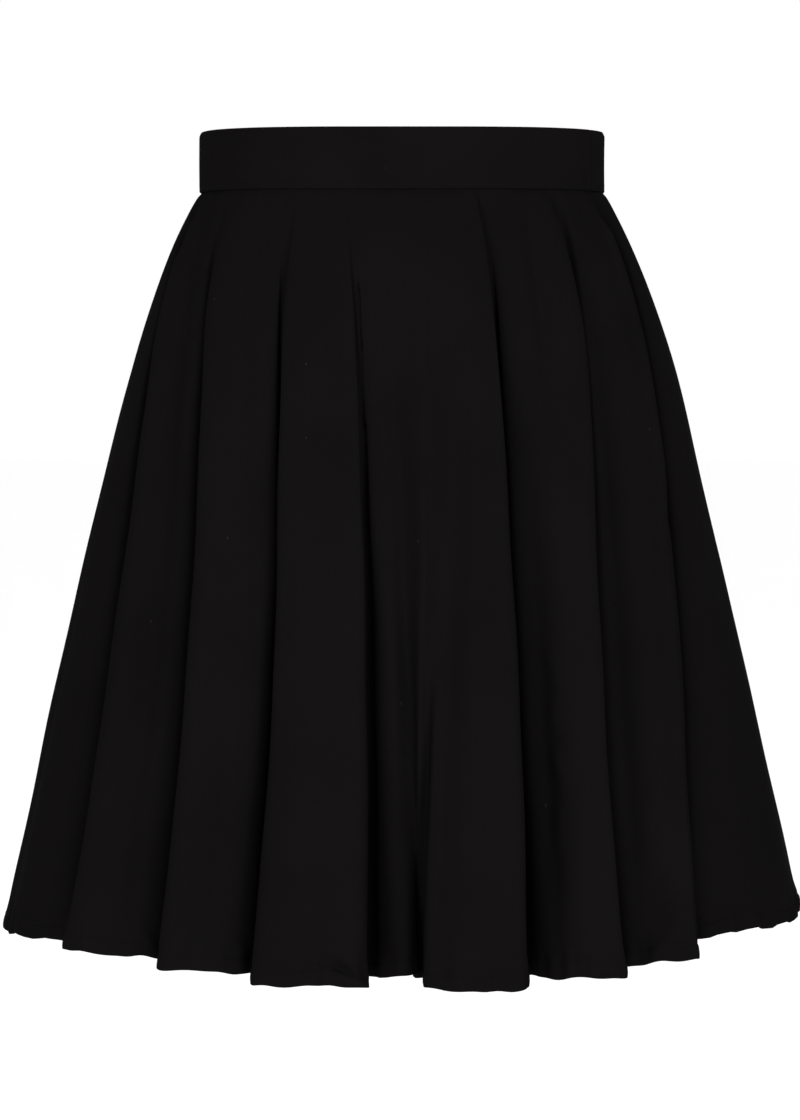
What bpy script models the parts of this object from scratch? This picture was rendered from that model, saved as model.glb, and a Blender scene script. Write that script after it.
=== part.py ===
"""A circle skirt, filled out and open at the waist and the hem.

Metres, +Z up. The front faces -Y, +X is the wearer's left, and the origin is the centre of the waistband's ring.
The cloth is a 1.5 mm wall through rings. Each ring runs round the folds, and its length is the length that the
circular cut has at that distance below the waist seam, so the folds are as deep as the cloth makes them.
"""

import math
from collections import namedtuple

import bmesh
import bpy
import numpy as np

# Waistband
WAIST_HALF_WIDTH = 0.1275
WAIST_HALF_DEPTH = 0.093
BAND_HEIGHT = 0.038
FRONT_DIP = 0.0024
BAND_WALL = 0.0022
BAND_PROUD = 0.0007
BAND_EDGE = 0.0006
BAND_STEP_DEG = 4.5

# Skirt
SKIRT_DROP = 0.469
FLARE_SIDE = 0.210
FLARE_FRONT = 0.2013
HIP_SWELL = 0.027
HIP_FADE = 0.068
WALL = 0.0015
SEAM_GAP = 0.0003
SOFT_TOP = 0.10
SOFT_SHOULDER = 0.12
SOFT_FLOOR = 0.02
VALLEY_SAG = 0.083
RING_DROPS = (
    0.0, 0.012, 0.026, 0.042, 0.062, 0.086, 0.115, 0.150, 0.190, 0.235, 0.280, 0.325, 0.370, 0.415, 0.445, SKIRT_DROP
)

# One row for each fold, in order round the skirt. Edges are in degrees from the front, positive towards +X, at the
# waist and at the hem. A bow over 1 turns the edge most near the waist. The tucks, in mm at the hem, set the edges and
# the middle of the fold in from the widest line, and a late fold keeps them small near the waist. The lifts, in mm,
# are how far the hem rises at both edges.
Crest = namedtuple(
    "Crest",
    "left_waist left_hem left_bow left_tuck middle_tuck right_waist right_hem right_bow right_tuck late"
    " left_lift right_lift",
)
CRESTS = [
    Crest(-110, -104, 1.6, 1, 0, -84, -64.3, 3.6, 18, 1, -0.5, 5.3),
    Crest(-78, -56.3, 3.6, 5, 12, -57.8, -40.4, 2.9, 24, 1, 5.3, 4.3),
    Crest(-55.9, -35.3, 2.7, 2, 9, -32.2, -23.0, 3.3, 24, 1, 2, 0.5),
    Crest(-30.6, -20.5, 3.2, 2, 0, -14, -5.6, 3.2, 5, 1, -2.5, -2.5),
    Crest(-12.8, -3.8, 2.8, 42, 38, -3, 2.5, 1.4, 46, 1.3, -2, -2.5),
    Crest(15, 3.5, 1.6, 24, 9, 21, 17.2, 1.2, 4, 1.3, -7, -5.5),
    Crest(22.6, 21.4, 1.0, 34, 14, 46.7, 31.7, 1.8, 3, 0.7, -3.6, -1.8),
    Crest(49, 36.6, 1.8, 26, 13, 67.5, 45.8, 1.2, 3, 0.8, 1, 4.5),
    Crest(75, 50.2, 1.1, 19, 1, 104, 104, 1.2, 1, 1, 13.7, 11.5),
    Crest(112, 115, 1.2, 4, 2, 126, 126, 1.2, 4, 1, 0, 0),
    Crest(133, 134, 1.2, 4, 2, 147, 151, 1.2, 9, 1, 3, 1),
    Crest(153, 159, 1.2, 6, 1, 163, 167, 1.2, 3, 1, -1, -1),
    Crest(170, 173, 1.2, 3, 1, 190, 187, 1.2, 3, 1, 0, 0),
    Crest(198, 199, 1.2, 4, 2, 212, 211, 1.2, 6, 1, 2, 4),
    Crest(221, 222, 1.2, 10, 3, 240, 242, 1.2, 4, 1, 0, 2),
]

# The valley after each crest. The depth is its share beside the others, in mm, before the ring's length scales them
# all. The floor is half its width in degrees, the leans move it, and a late valley stays shallow near the waist.
Valley = namedtuple("Valley", "depth floor_waist floor_hem lean_middle lean_hem late")
VALLEYS = [
    Valley(84, 0.6, 2.6, -13, -2, 0),
    Valley(74, 0.4, 2.2, 0, 1, 0.5),
    Valley(72, 0.4, 2.0, 0, 1, 0.7),
    Valley(35, 0.4, 1.4, 0, -0.6, 0.5),
    Valley(39, 0.5, 0.9, 0, 0.3, 1.7),
    Valley(72, 0.4, 2.0, 0, -1, 0.3),
    Valley(74, 0.4, 2.2, 0, -1, 0.2),
    Valley(80, 0.6, 2.4, 13, 2, 0),
    Valley(52, 1.0, 3.0, 0, 0, 0),
    Valley(60, 1.0, 2.6, 0, 0, 0),
    Valley(55, 1.0, 2.4, 0, 1, 0),
    Valley(50, 1.0, 2.8, 0, 0, 0),
    Valley(74, 1.0, 2.6, 0, 0, 0),
    Valley(70, 1.0, 2.8, 0, -1, 0),
    Valley(76, 1.0, 3.0, 0, 0, 0),
]

# Steps of a ring from the left edge of a fold to its crest, its right edge, the floor's start and end, and the next
FOLD_STEPS = (2, 2, 3, 2, 3)
STEPS_PER_FOLD = sum(FOLD_STEPS)
TO_CREST = FOLD_STEPS[0]
TO_RIGHT_EDGE = FOLD_STEPS[0] + FOLD_STEPS[1]

# The seams run down a fold's edge or crest
RIGHT_SIDE_SEAM = 1 * STEPS_PER_FOLD
LEFT_SIDE_SEAM = 7 * STEPS_PER_FOLD + TO_RIGHT_EDGE
CENTRE_BACK_SEAM = 12 * STEPS_PER_FOLD + TO_CREST
RING_STEPS = len(CRESTS) * STEPS_PER_FOLD

# Zip
ZIP_LENGTH_IN_SKIRT = 0.145
TAPE_WIDTH = 0.022
TAPE_THICKNESS = 0.0008
COIL_WIDTH = 0.004
COIL_HEIGHT = 0.0016
TAPE_TOP_INSET = 0.002
TAPE_CLEARANCE = 0.0004
SLIDER_WIDTH = 0.0056
SLIDER_HEIGHT = 0.009
SLIDER_THICKNESS = 0.0022
SLIDER_CENTRE_Z = 0.0105
LUG_THICKNESS = 0.0009
LUG_HALF_HEIGHT = 0.0013
LUG_OVER_BAR = 0.001
BAR_RADIUS = 0.00055
BAR_OFF_SLIDER = 0.0019
KNUCKLE_WIDTH = 0.0026
KNUCKLE_RADIUS = 0.0015
EYE_RADIUS = 0.00095
LUG_CLEARANCE = 0.0003
TAB_LENGTH = 0.019
TAB_WIDTH = 0.0052
TAB_NECK_WIDTH = 0.0018
TAB_THICKNESS = 0.001
TAB_ROUND_STEPS = 8

CLOTH_COLOUR = (0.0085, 0.0078, 0.0085, 1)
METAL_COLOUR = (0.012, 0.012, 0.013, 1)


def clear_scene():
    for obj in list(bpy.data.objects):
        bpy.data.objects.remove(obj)


def new_collection(name, hidden=False):
    collection = bpy.data.collections.new(name)
    bpy.context.scene.collection.children.link(collection)
    collection.hide_render = hidden
    return collection


def make_material(name, colour, roughness, metallic):
    material = bpy.data.materials.new(name)
    material.use_nodes = True
    shader = material.node_tree.nodes["Principled BSDF"]
    shader.inputs["Base Color"].default_value = colour
    shader.inputs["Roughness"].default_value = roughness
    shader.inputs["Metallic"].default_value = metallic
    return material


def swell(drop):
    """How far the hips push the cloth out within the first few centimetres below the waist."""
    return HIP_SWELL * (1 - math.exp(-drop / HIP_FADE))


def hull(drop, angles):
    """Points of the ellipse that the crests hang on, for angles in radians from the front, and its outward normals."""
    half_width = WAIST_HALF_WIDTH + FLARE_SIDE * drop + swell(drop)
    half_depth = WAIST_HALF_DEPTH + FLARE_FRONT * drop + swell(drop)
    points = np.stack([half_width * np.sin(angles), -half_depth * np.cos(angles)], axis=1)
    normals = np.stack([half_depth * np.sin(angles), -half_width * np.cos(angles)], axis=1)
    return points, normals / np.linalg.norm(normals, axis=1, keepdims=True)


def front_dip(points, share):
    """How much lower these points of a ring lie, since the waistline dips at the front."""
    forward = -points[:, 1] / np.linalg.norm(points[:, :2], axis=1)
    return FRONT_DIP * (1 - share) ** 2 * np.clip(forward, 0, 1) ** 1.5


def edge_angle(at_waist, at_hem, bow, share):
    return at_hem + (at_waist - at_hem) * (1 - share) ** bow


def fold_controls(drop, scale):
    """Five control points for each fold of the ring at this drop: left edge, crest, right edge and both ends of the
    valley's floor. The third coordinate is how far each hangs below its ring's level."""
    share = drop / SKIRT_DROP
    soft = max(0, 1 - drop / SOFT_TOP) ** 2
    angles, insets, hangs = [], [], []
    for i, (crest, valley) in enumerate(zip(CRESTS, VALLEYS)):
        after = CRESTS[(i + 1) % len(CRESTS)]
        full_turn = 360 * (i == len(CRESTS) - 1)
        left = edge_angle(crest.left_waist, crest.left_hem, crest.left_bow, share)
        right = edge_angle(crest.right_waist, crest.right_hem, crest.right_bow, share)
        next_left = edge_angle(after.left_waist, after.left_hem, after.left_bow, share) + full_turn
        width = right - left
        lean = valley.lean_middle * 4 * share * (1 - share) + valley.lean_hem * share
        floor_middle = (right + next_left) / 2 + lean
        half_floor = valley.floor_waist * (1 - share) + valley.floor_hem * share + soft * SOFT_FLOOR * width
        shoulder = soft * SOFT_SHOULDER * width
        angles += [left + shoulder, (left + right) / 2, right - shoulder]
        angles += [floor_middle - half_floor, floor_middle + half_floor]
        depth = valley.depth / 1000 * scale * share**valley.late
        tucks = (crest.left_tuck, crest.middle_tuck, crest.right_tuck)
        insets += [tuck / 1000 * share**crest.late for tuck in tucks]
        insets += [depth, depth]
        sag = VALLEY_SAG * depth * share
        lifts = (crest.left_lift, (crest.left_lift + crest.right_lift) / 2, crest.right_lift)
        hangs += [-lift / 1000 * share**2 for lift in lifts] + [sag, sag]
    points, normals = hull(drop, np.radians(angles))
    return np.column_stack([points - normals * np.array(insets)[:, None], hangs])


def closed_curve(points, steps):
    """A closed centripetal curve through the points, with so many steps from each to the next."""
    count = len(points)
    curve = []
    for i in range(count):
        before, start, end, after = (points[(i + k) % count] for k in (-1, 0, 1, 2))
        knots = [np.linalg.norm((b - a)[:2]) ** 0.5 for a, b in ((before, start), (start, end), (end, after))]
        first, middle, last = (max(knot, 1e-4) for knot in knots)
        leave = ((start - before) / first - (end - before) / (first + middle) + (end - start) / middle) * middle
        arrive = ((end - start) / middle - (after - start) / (middle + last) + (after - end) / last) * middle
        for step in range(steps[i % len(steps)]):
            s = step / steps[i % len(steps)]
            curve.append(
                (2 * s**3 - 3 * s**2 + 1) * start
                + (s**3 - 2 * s**2 + s) * leave
                + (3 * s**2 - 2 * s**3) * end
                + (s**3 - s**2) * arrive
            )
    return np.array(curve)


def perimeter(ring):
    return float(np.linalg.norm((np.roll(ring, -1, 0) - ring)[:, :2], axis=1).sum())


def waist_girth():
    return perimeter(hull(0, np.linspace(0, 2 * math.pi, 721)[:-1])[0])


def slope_length(drop):
    """The length of cloth from the waist seam down to this drop."""
    drops = np.linspace(0, drop, 60)
    half_widths = FLARE_SIDE * drops + HIP_SWELL * (1 - np.exp(-drops / HIP_FADE))
    return float(np.hypot(np.diff(drops), np.diff(half_widths)).sum())


def circle_length(drop):
    """The length of the circular cut at this drop: a full circle whose hole is the waist's girth."""
    return waist_girth() + 2 * math.pi * slope_length(drop)


def depth_scale(drop):
    """The scale of the valleys at which the ring is as long as the circular cut there."""
    target = circle_length(drop)
    low, high = 0.0, 2.0
    for _ in range(24):
        middle = (low + high) / 2
        if perimeter(closed_curve(fold_controls(drop, middle), (6,) * len(FOLD_STEPS))) < target:
            low = middle
        else:
            high = middle
    return (low + high) / 2


def skirt_ring(drop):
    """The outer points of the ring at this drop, with their heights."""
    ring = closed_curve(fold_controls(drop, depth_scale(drop)), FOLD_STEPS)
    top = -BAND_HEIGHT / 2 - SEAM_GAP
    ring[:, 2] = top - drop - ring[:, 2] - front_dip(ring, drop / SKIRT_DROP)
    return ring


def ring_directions(ring):
    """Unit vectors along a closed ring in plan, and its outward normals, lengthened at corners to keep the wall even."""
    ahead = (np.roll(ring, -1, 0) - ring)[:, :2]
    ahead /= np.linalg.norm(ahead, axis=1, keepdims=True)
    behind = np.roll(ahead, 1, 0)
    along = ahead + behind
    along /= np.linalg.norm(along, axis=1, keepdims=True)
    outward = np.stack([along[:, 1], -along[:, 0]], axis=1)
    square = (along * ahead).sum(axis=1, keepdims=True)
    return along, outward / np.maximum(square, 0.8)


def wall_section(ring, start, end, wall):
    """The closed outline, in plan, of a stretch of wall from one step of the ring to another, parted at its seams."""
    along, outward = ring_directions(ring)
    steps = np.arange(start, end + 1) % len(ring)
    outer = ring[steps].copy()
    outer[0, :2] += along[steps[0]] * SEAM_GAP / 2
    outer[-1, :2] -= along[steps[-1]] * SEAM_GAP / 2
    inner = outer.copy()
    inner[:, :2] -= outward[steps] * wall
    return np.concatenate([outer, inner[::-1]])


def loft(name, sections, material, collection):
    """A closed solid through outlines of equal count, from top to bottom. Each outline goes out along one side of a
    wall and back along the other, so that its first and last, second and last but one points face each other."""
    mesh = bmesh.new()
    rows = [[mesh.verts.new(point) for point in section] for section in sections]
    count = len(sections[0])
    for upper, lower in zip(rows, rows[1:]):
        for i in range(count):
            j = (i + 1) % count
            mesh.faces.new((upper[i], lower[i], lower[j], upper[j]))
    for row, upward in ((rows[0], True), (rows[-1], False)):
        for i in range(count // 2 - 1):
            corners = (row[i], row[i + 1], row[count - 2 - i], row[count - 1 - i])
            mesh.faces.new(corners if upward else corners[::-1])
    bmesh.ops.recalc_face_normals(mesh, faces=mesh.faces)
    data = bpy.data.meshes.new(name)
    mesh.to_mesh(data)
    mesh.free()
    data.shade_smooth()
    data.materials.append(material)
    obj = bpy.data.objects.new(name, data)
    collection.objects.link(obj)
    return obj


def add_panels(collection, cloth):
    """The half-circle front and the two quarter-circle backs."""
    rings = [skirt_ring(drop) for drop in RING_DROPS]
    panels = (
        ("skirt_front", RIGHT_SIDE_SEAM, LEFT_SIDE_SEAM),
        ("skirt_back_left", LEFT_SIDE_SEAM, CENTRE_BACK_SEAM),
        ("skirt_back_right", CENTRE_BACK_SEAM, RIGHT_SIDE_SEAM + RING_STEPS),
    )
    for name, start, end in panels:
        loft(name, [wall_section(ring, start, end, WALL) for ring in rings], cloth, collection)


def band_arc(start_deg, end_deg, inset, level):
    """The outline of a stretch of the waistband, its outer face set in by inset, at this level."""
    steps = round((end_deg - start_deg) / BAND_STEP_DEG)
    angles = np.radians(np.linspace(start_deg, end_deg, steps + 1))
    points, outward = hull(0, angles)
    along = np.stack([-outward[:, 1], outward[:, 0]], axis=1)
    points[0] += along[0] * SEAM_GAP / 2
    points[-1] -= along[-1] * SEAM_GAP / 2
    outer = points + outward * (BAND_PROUD - inset)
    inner = points + outward * (BAND_PROUD - BAND_WALL + inset)
    outline = np.concatenate([outer, inner[::-1]])
    return np.column_stack([outline, level - front_dip(outline, 0)])


def add_waistband(collection, cloth):
    """The front half and the two back halves of the waistband, seamed in line with the panels."""
    top = BAND_HEIGHT / 2
    levels = ((top, BAND_EDGE), (top - BAND_EDGE, 0), (-top + BAND_EDGE, 0), (-top, BAND_EDGE))
    right_seam, left_seam = CRESTS[1].left_waist, CRESTS[7].right_waist
    pieces = (
        ("waistband_front", right_seam, left_seam),
        ("waistband_back_left", left_seam, 180),
        ("waistband_back_right", 180, right_seam + 360),
    )
    for name, start, end in pieces:
        sections = [band_arc(start, end, inset, level) for level, inset in levels]
        loft(name, sections, cloth, collection)


def inside_of_back(drop, across):
    """How far back the inner face of the cloth lies at the centre back, at this drop and these places across."""
    if drop < 0:
        points, _ = hull(0, np.radians(np.linspace(196, 164, 17)))
        faces = points[:, 1] + BAND_PROUD - BAND_WALL
        return np.interp(across, points[:, 0], faces)
    ring = skirt_ring(drop)
    inner = ring[:, :2] - ring_directions(ring)[1] * WALL
    near = inner[CENTRE_BACK_SEAM - TO_CREST : CENTRE_BACK_SEAM + TO_CREST + 1][::-1]
    return np.interp(across, near[:, 0], near[:, 1])


def add_zip_tape(collection, cloth):
    """Both tapes and the closed coil of the concealed zip, behind the centre back seam."""
    half_tape, half_coil = TAPE_WIDTH / 2, COIL_WIDTH / 2
    across = np.array([half_tape, half_coil, half_coil / 2, -half_coil / 2, -half_coil, -half_tape])
    thickness = np.array([0, 0, COIL_HEIGHT, COIL_HEIGHT, 0, 0]) + TAPE_THICKNESS
    drops = [TAPE_TOP_INSET - BAND_HEIGHT, -SEAM_GAP] + [d for d in RING_DROPS[1:] if d <= ZIP_LENGTH_IN_SKIRT]
    drops.append(ZIP_LENGTH_IN_SKIRT)
    sections = []
    for drop in drops:
        level = -BAND_HEIGHT / 2 - drop
        outer = inside_of_back(drop, across) - TAPE_CLEARANCE
        front = np.column_stack([across, outer, np.full(len(across), level)])
        back = np.column_stack([across, outer - thickness, np.full(len(across), level)])
        sections.append(np.concatenate([front, back[::-1]]))
    loft("zip_tape", sections, cloth, collection)


def add_cylinder(name, radius, length, location, collection, sides=24):
    """A cylinder along X."""
    bpy.ops.mesh.primitive_cylinder_add(
        vertices=sides, radius=radius, depth=length, location=location, rotation=(0, math.pi / 2, 0)
    )
    return adopt(name, collection)


def add_box(name, size, location, collection):
    bpy.ops.mesh.primitive_cube_add(size=1, location=location)
    obj = bpy.context.object
    obj.data.transform([[size[0], 0, 0, 0], [0, size[1], 0, 0], [0, 0, size[2], 0], [0, 0, 0, 1]])
    return adopt(name, collection)


def adopt(name, collection):
    """Names the new object and moves it to the collection."""
    obj = bpy.context.object
    obj.name = obj.data.name = name
    for other in list(obj.users_collection):
        other.objects.unlink(obj)
    collection.objects.link(obj)
    if collection.hide_render:
        obj.hide_render = True
        obj.display_type = "WIRE"
    return obj


def combine(obj, other, operation):
    modifier = obj.modifiers.new(f"{operation.lower()} {other.name}", "BOOLEAN")
    modifier.operation = operation
    modifier.object = other


def bar_place():
    """The axis of the pull tab: the slider's bar, outside the band at the centre back."""
    face = WAIST_HALF_DEPTH + BAND_PROUD + SEAM_GAP
    return (0, face + SLIDER_THICKNESS + BAR_OFF_SLIDER, SLIDER_CENTRE_Z + LUG_HALF_HEIGHT)


def add_slider(collection, helpers, metal):
    """The slider's body, the two lugs on it and the bar between them."""
    face = WAIST_HALF_DEPTH + BAND_PROUD + SEAM_GAP
    bar_x, bar_y, bar_z = bar_place()
    body_place = (0, face + SLIDER_THICKNESS / 2, SLIDER_CENTRE_Z)
    slider = add_box("zip_slider", (SLIDER_WIDTH, SLIDER_THICKNESS, SLIDER_HEIGHT), body_place, collection)
    bevel = slider.modifiers.new("rounded edges", "BEVEL")
    bevel.width = SLIDER_THICKNESS / 4
    bevel.segments = 2
    lug_depth = BAR_OFF_SLIDER + LUG_OVER_BAR + SLIDER_THICKNESS / 2
    lug_y = bar_y + LUG_OVER_BAR - lug_depth / 2
    lug_x = KNUCKLE_WIDTH / 2 + LUG_CLEARANCE + LUG_THICKNESS / 2
    for side, word in ((-1, "right"), (1, "left")):
        size = (LUG_THICKNESS, lug_depth, 2 * LUG_HALF_HEIGHT)
        combine(slider, add_box(f"lug_{word}", size, (side * lug_x, lug_y, bar_z), helpers), "UNION")
    bar_length = 2 * lug_x + LUG_THICKNESS / 2
    bar = add_cylinder("slider_bar", BAR_RADIUS, bar_length, (bar_x, bar_y, bar_z), helpers)
    combine(slider, bar, "UNION")
    slider.data.materials.append(metal)


def tab_outline():
    """Half of the pull tab's outline, from its neck down to its round end: places across and down from the bar."""
    end_radius = TAB_WIDTH / 2
    turns = np.linspace(0.12, 0.5, TAB_ROUND_STEPS) * math.pi
    points = [(TAB_NECK_WIDTH / 2, 0), (TAB_NECK_WIDTH / 2, 2.2 * KNUCKLE_RADIUS)]
    points += [(end_radius * math.cos(a), TAB_LENGTH - end_radius + end_radius * math.sin(a)) for a in turns]
    return points


def add_pull(collection, helpers, metal):
    """The pull tab: a teardrop plate on a knuckle whose eye is round the slider's bar. Its origin is the bar's axis."""
    bar = bar_place()
    pull = add_cylinder("zip_pull", KNUCKLE_RADIUS, KNUCKLE_WIDTH, bar, collection)
    half = tab_outline()
    outline = half + [(-x, down) for x, down in half[-2::-1]]
    curve = bpy.data.curves.new("tab_outline", "CURVE")
    curve.dimensions = "2D"
    curve.fill_mode = "BOTH"
    curve.extrude = TAB_THICKNESS / 2
    spline = curve.splines.new("POLY")
    spline.points.add(len(outline) - 1)
    for point, (x, down) in zip(spline.points, outline):
        point.co = (x, -down, 0, 1)
    spline.use_cyclic_u = True
    guide = bpy.data.objects.new("tab_guide", curve)
    helpers.objects.link(guide)
    guide.location = bar
    guide.rotation_euler = (math.pi / 2, 0, 0)
    bpy.context.view_layer.update()
    data = bpy.data.meshes.new_from_object(guide.evaluated_get(bpy.context.evaluated_depsgraph_get()))
    cleaned = bmesh.new()
    cleaned.from_mesh(data)
    bmesh.ops.remove_doubles(cleaned, verts=cleaned.verts, dist=0.00001)
    bmesh.ops.recalc_face_normals(cleaned, faces=cleaned.faces)
    cleaned.to_mesh(data)
    cleaned.free()
    plate = bpy.data.objects.new("tab_plate", data)
    plate.matrix_world = guide.matrix_world
    plate.hide_render = True
    plate.display_type = "WIRE"
    helpers.objects.link(plate)
    bpy.data.objects.remove(guide)
    combine(pull, plate, "UNION")
    combine(pull, add_cylinder("tab_eye", EYE_RADIUS, 2 * KNUCKLE_WIDTH, bar, helpers), "DIFFERENCE")
    pull.data.materials.append(metal)


def main():
    clear_scene()
    skirt = new_collection("circle_skirt")
    helpers = new_collection("helpers", hidden=True)
    cloth = make_material("black_twill", CLOTH_COLOUR, 0.85, 0)
    metal = make_material("black_lacquered_metal", METAL_COLOUR, 0.35, 0.9)
    add_waistband(skirt, cloth)
    add_panels(skirt, cloth)
    add_zip_tape(skirt, cloth)
    add_slider(skirt, helpers, metal)
    add_pull(skirt, helpers, metal)


main()
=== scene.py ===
"""The looks of a black circle skirt: twill panels in deep folds, a straight waistband, sewing and a back zip.

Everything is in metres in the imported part's own frame: +Z up, the front faces -Y, and the origin is the
centre of the waistband's ring. The panels and the waistband are built again from the sizes and tables of
the solids, with finer steps, as thin shells that then get their seams, creases, puckers and hem.
"""

import math
from collections import namedtuple
from functools import lru_cache

import bpy
import numpy as np
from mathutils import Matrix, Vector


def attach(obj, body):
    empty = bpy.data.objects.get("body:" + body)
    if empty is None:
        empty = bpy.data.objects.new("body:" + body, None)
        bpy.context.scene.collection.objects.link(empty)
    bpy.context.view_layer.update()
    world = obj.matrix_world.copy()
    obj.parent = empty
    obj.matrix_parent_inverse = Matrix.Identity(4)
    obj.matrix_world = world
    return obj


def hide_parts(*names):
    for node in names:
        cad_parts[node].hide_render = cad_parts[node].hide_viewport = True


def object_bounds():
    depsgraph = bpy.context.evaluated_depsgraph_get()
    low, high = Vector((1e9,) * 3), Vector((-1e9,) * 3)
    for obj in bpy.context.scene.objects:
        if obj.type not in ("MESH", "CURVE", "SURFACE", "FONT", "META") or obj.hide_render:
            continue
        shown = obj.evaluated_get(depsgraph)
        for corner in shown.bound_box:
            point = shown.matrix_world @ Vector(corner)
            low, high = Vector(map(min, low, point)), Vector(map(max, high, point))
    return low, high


bl_info = {
    "name": "Circle skirt looks",
    "version": (1, 0, 0),
    "blender": (4, 5, 0),
    "location": "3D View > Sidebar > Circle Skirt",
    "description": "Builds the cloth, sewing, zip and stage of a circle skirt round its packed part",
    "category": "Object",
}

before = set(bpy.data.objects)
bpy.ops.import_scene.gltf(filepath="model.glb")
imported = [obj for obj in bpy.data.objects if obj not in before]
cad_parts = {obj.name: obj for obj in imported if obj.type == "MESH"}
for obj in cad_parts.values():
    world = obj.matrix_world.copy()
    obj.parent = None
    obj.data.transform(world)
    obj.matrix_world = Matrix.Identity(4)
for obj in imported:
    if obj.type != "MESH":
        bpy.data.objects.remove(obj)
CAD_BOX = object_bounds()
BODY = "skirt"

# Waistband, as in the solids
WAIST_HALF_WIDTH = 0.1275
WAIST_HALF_DEPTH = 0.093
BAND_HEIGHT = 0.038
FRONT_DIP = 0.0024
BAND_WALL = 0.0022
BAND_PROUD = 0.0007

# Skirt, as in the solids
SKIRT_DROP = 0.469
FLARE_SIDE = 0.210
FLARE_FRONT = 0.2013
HIP_SWELL = 0.027
HIP_FADE = 0.068
SEAM_GAP = 0.0003
SOFT_TOP = 0.10
SOFT_SHOULDER = 0.12
SOFT_FLOOR = 0.02
VALLEY_SAG = 0.083

# One row for each fold, in order round the skirt. Edges are in degrees from the front, positive towards
# +X, at the waist and at the hem. A bow over 1 turns the edge most near the waist. The tucks, in mm at
# the hem, set the edges and the middle of the fold in from the widest line, and a late fold keeps them
# small near the waist. The lifts, in mm, are how far the hem rises at both edges.
Crest = namedtuple(
    "Crest",
    "left_waist left_hem left_bow left_tuck middle_tuck right_waist right_hem right_bow right_tuck late"
    " left_lift right_lift",
)
CRESTS = [
    Crest(-110, -104, 1.6, 1, 0, -84, -64.3, 3.6, 18, 1, -0.5, 5.3),
    Crest(-78, -56.3, 3.6, 5, 12, -57.8, -40.4, 2.9, 24, 1, 5.3, 4.3),
    Crest(-55.9, -35.3, 2.7, 2, 9, -32.2, -23.0, 3.3, 24, 1, 2, 0.5),
    Crest(-30.6, -20.5, 3.2, 2, 0, -14, -5.6, 3.2, 5, 1, -2.5, -2.5),
    Crest(-12.8, -3.8, 2.8, 42, 38, -3, 2.5, 1.4, 46, 1.3, -2, -2.5),
    Crest(15, 3.5, 1.6, 24, 9, 21, 17.2, 1.2, 4, 1.3, -7, -5.5),
    Crest(22.6, 21.4, 1.0, 34, 14, 46.7, 31.7, 1.8, 3, 0.7, -3.6, -1.8),
    Crest(49, 36.6, 1.8, 26, 13, 67.5, 45.8, 1.2, 3, 0.8, 1, 4.5),
    Crest(75, 50.2, 1.1, 19, 1, 104, 104, 1.2, 1, 1, 13.7, 11.5),
    Crest(112, 115, 1.2, 4, 2, 126, 126, 1.2, 4, 1, 0, 0),
    Crest(133, 134, 1.2, 4, 2, 147, 151, 1.2, 9, 1, 3, 1),
    Crest(153, 159, 1.2, 6, 1, 163, 167, 1.2, 3, 1, -1, -1),
    Crest(170, 173, 1.2, 3, 1, 190, 187, 1.2, 3, 1, 0, 0),
    Crest(198, 199, 1.2, 4, 2, 212, 211, 1.2, 6, 1, 2, 4),
    Crest(221, 222, 1.2, 10, 3, 240, 242, 1.2, 4, 1, 0, 2),
]

# The valley after each crest. The depth is its share beside the others, in mm, before the ring's length
# scales them all. The floor is half its width in degrees, the leans move it, and a late valley stays
# shallow near the waist.
Valley = namedtuple("Valley", "depth floor_waist floor_hem lean_middle lean_hem late")
VALLEYS = [
    Valley(84, 0.6, 2.6, -13, -2, 0),
    Valley(74, 0.4, 2.2, 0, 1, 0.5),
    Valley(72, 0.4, 2.0, 0, 1, 0.7),
    Valley(35, 0.4, 1.4, 0, -0.6, 0.5),
    Valley(39, 0.5, 0.9, 0, 0.3, 1.7),
    Valley(72, 0.4, 2.0, 0, -1, 0.3),
    Valley(74, 0.4, 2.2, 0, -1, 0.2),
    Valley(80, 0.6, 2.4, 13, 2, 0),
    Valley(52, 1.0, 3.0, 0, 0, 0),
    Valley(60, 1.0, 2.6, 0, 0, 0),
    Valley(55, 1.0, 2.4, 0, 1, 0),
    Valley(50, 1.0, 2.8, 0, 0, 0),
    Valley(74, 1.0, 2.6, 0, 0, 0),
    Valley(70, 1.0, 2.8, 0, -1, 0),
    Valley(76, 1.0, 3.0, 0, 0, 0),
]

# A place round the skirt counts five control points a fold: its left edge, crest, right edge, and both
# ends of the valley's floor. The fine steps are those between one control point and the next.
PLACES_PER_FOLD = 5
PLACES = PLACES_PER_FOLD * len(CRESTS)
FINE_STEPS = (12, 12, 22, 6, 22)
RIGHT_SIDE_SEAM = 1 * PLACES_PER_FOLD
LEFT_SIDE_SEAM = 7 * PLACES_PER_FOLD + 2
CENTRE_BACK_SEAM = 12 * PLACES_PER_FOLD + 1

# Finish of the panels' edges, in metres
CLOTH_THICKNESS = 0.0009
TUCK_DEPTH = 0.0005
HEM_DEPTH = 0.0095
HEM_EDGE_ROUND = 0.0003
SEAM_ROLL_WIDTH = 0.0012
SEAM_ROLL_DEPTH = 0.0009
ZIP_LENGTH_IN_SKIRT = 0.145
ZIP_SEAM_DEEPER = 0.6
ZIP_SEAM_FADE = 0.01
TUCK_RAMP = (-0.0006, 0.0028)
EASE_HEIGHT = 0.00022
EASE_WAVE = 0.0135
EASE_REACH = 0.006
HEM_GROOVE_DEPTH = 0.0004
HEM_GROOVE_WIDTH = 0.0012
HEM_ROLL_HEIGHT = 0.0004
HEM_ROLL_RAMP = 0.003
HEM_FOLD_THICKER = 0.7
HEM_FOLD_STEP = 0.0006
HEM_EDGE_THINNER = 0.45
PUCKER_MIDDLE = 0.006
PUCKER_REACH = 0.009
GATHER_FADE = 0.2
HEM_WAVE_REACH = 0.022

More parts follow.
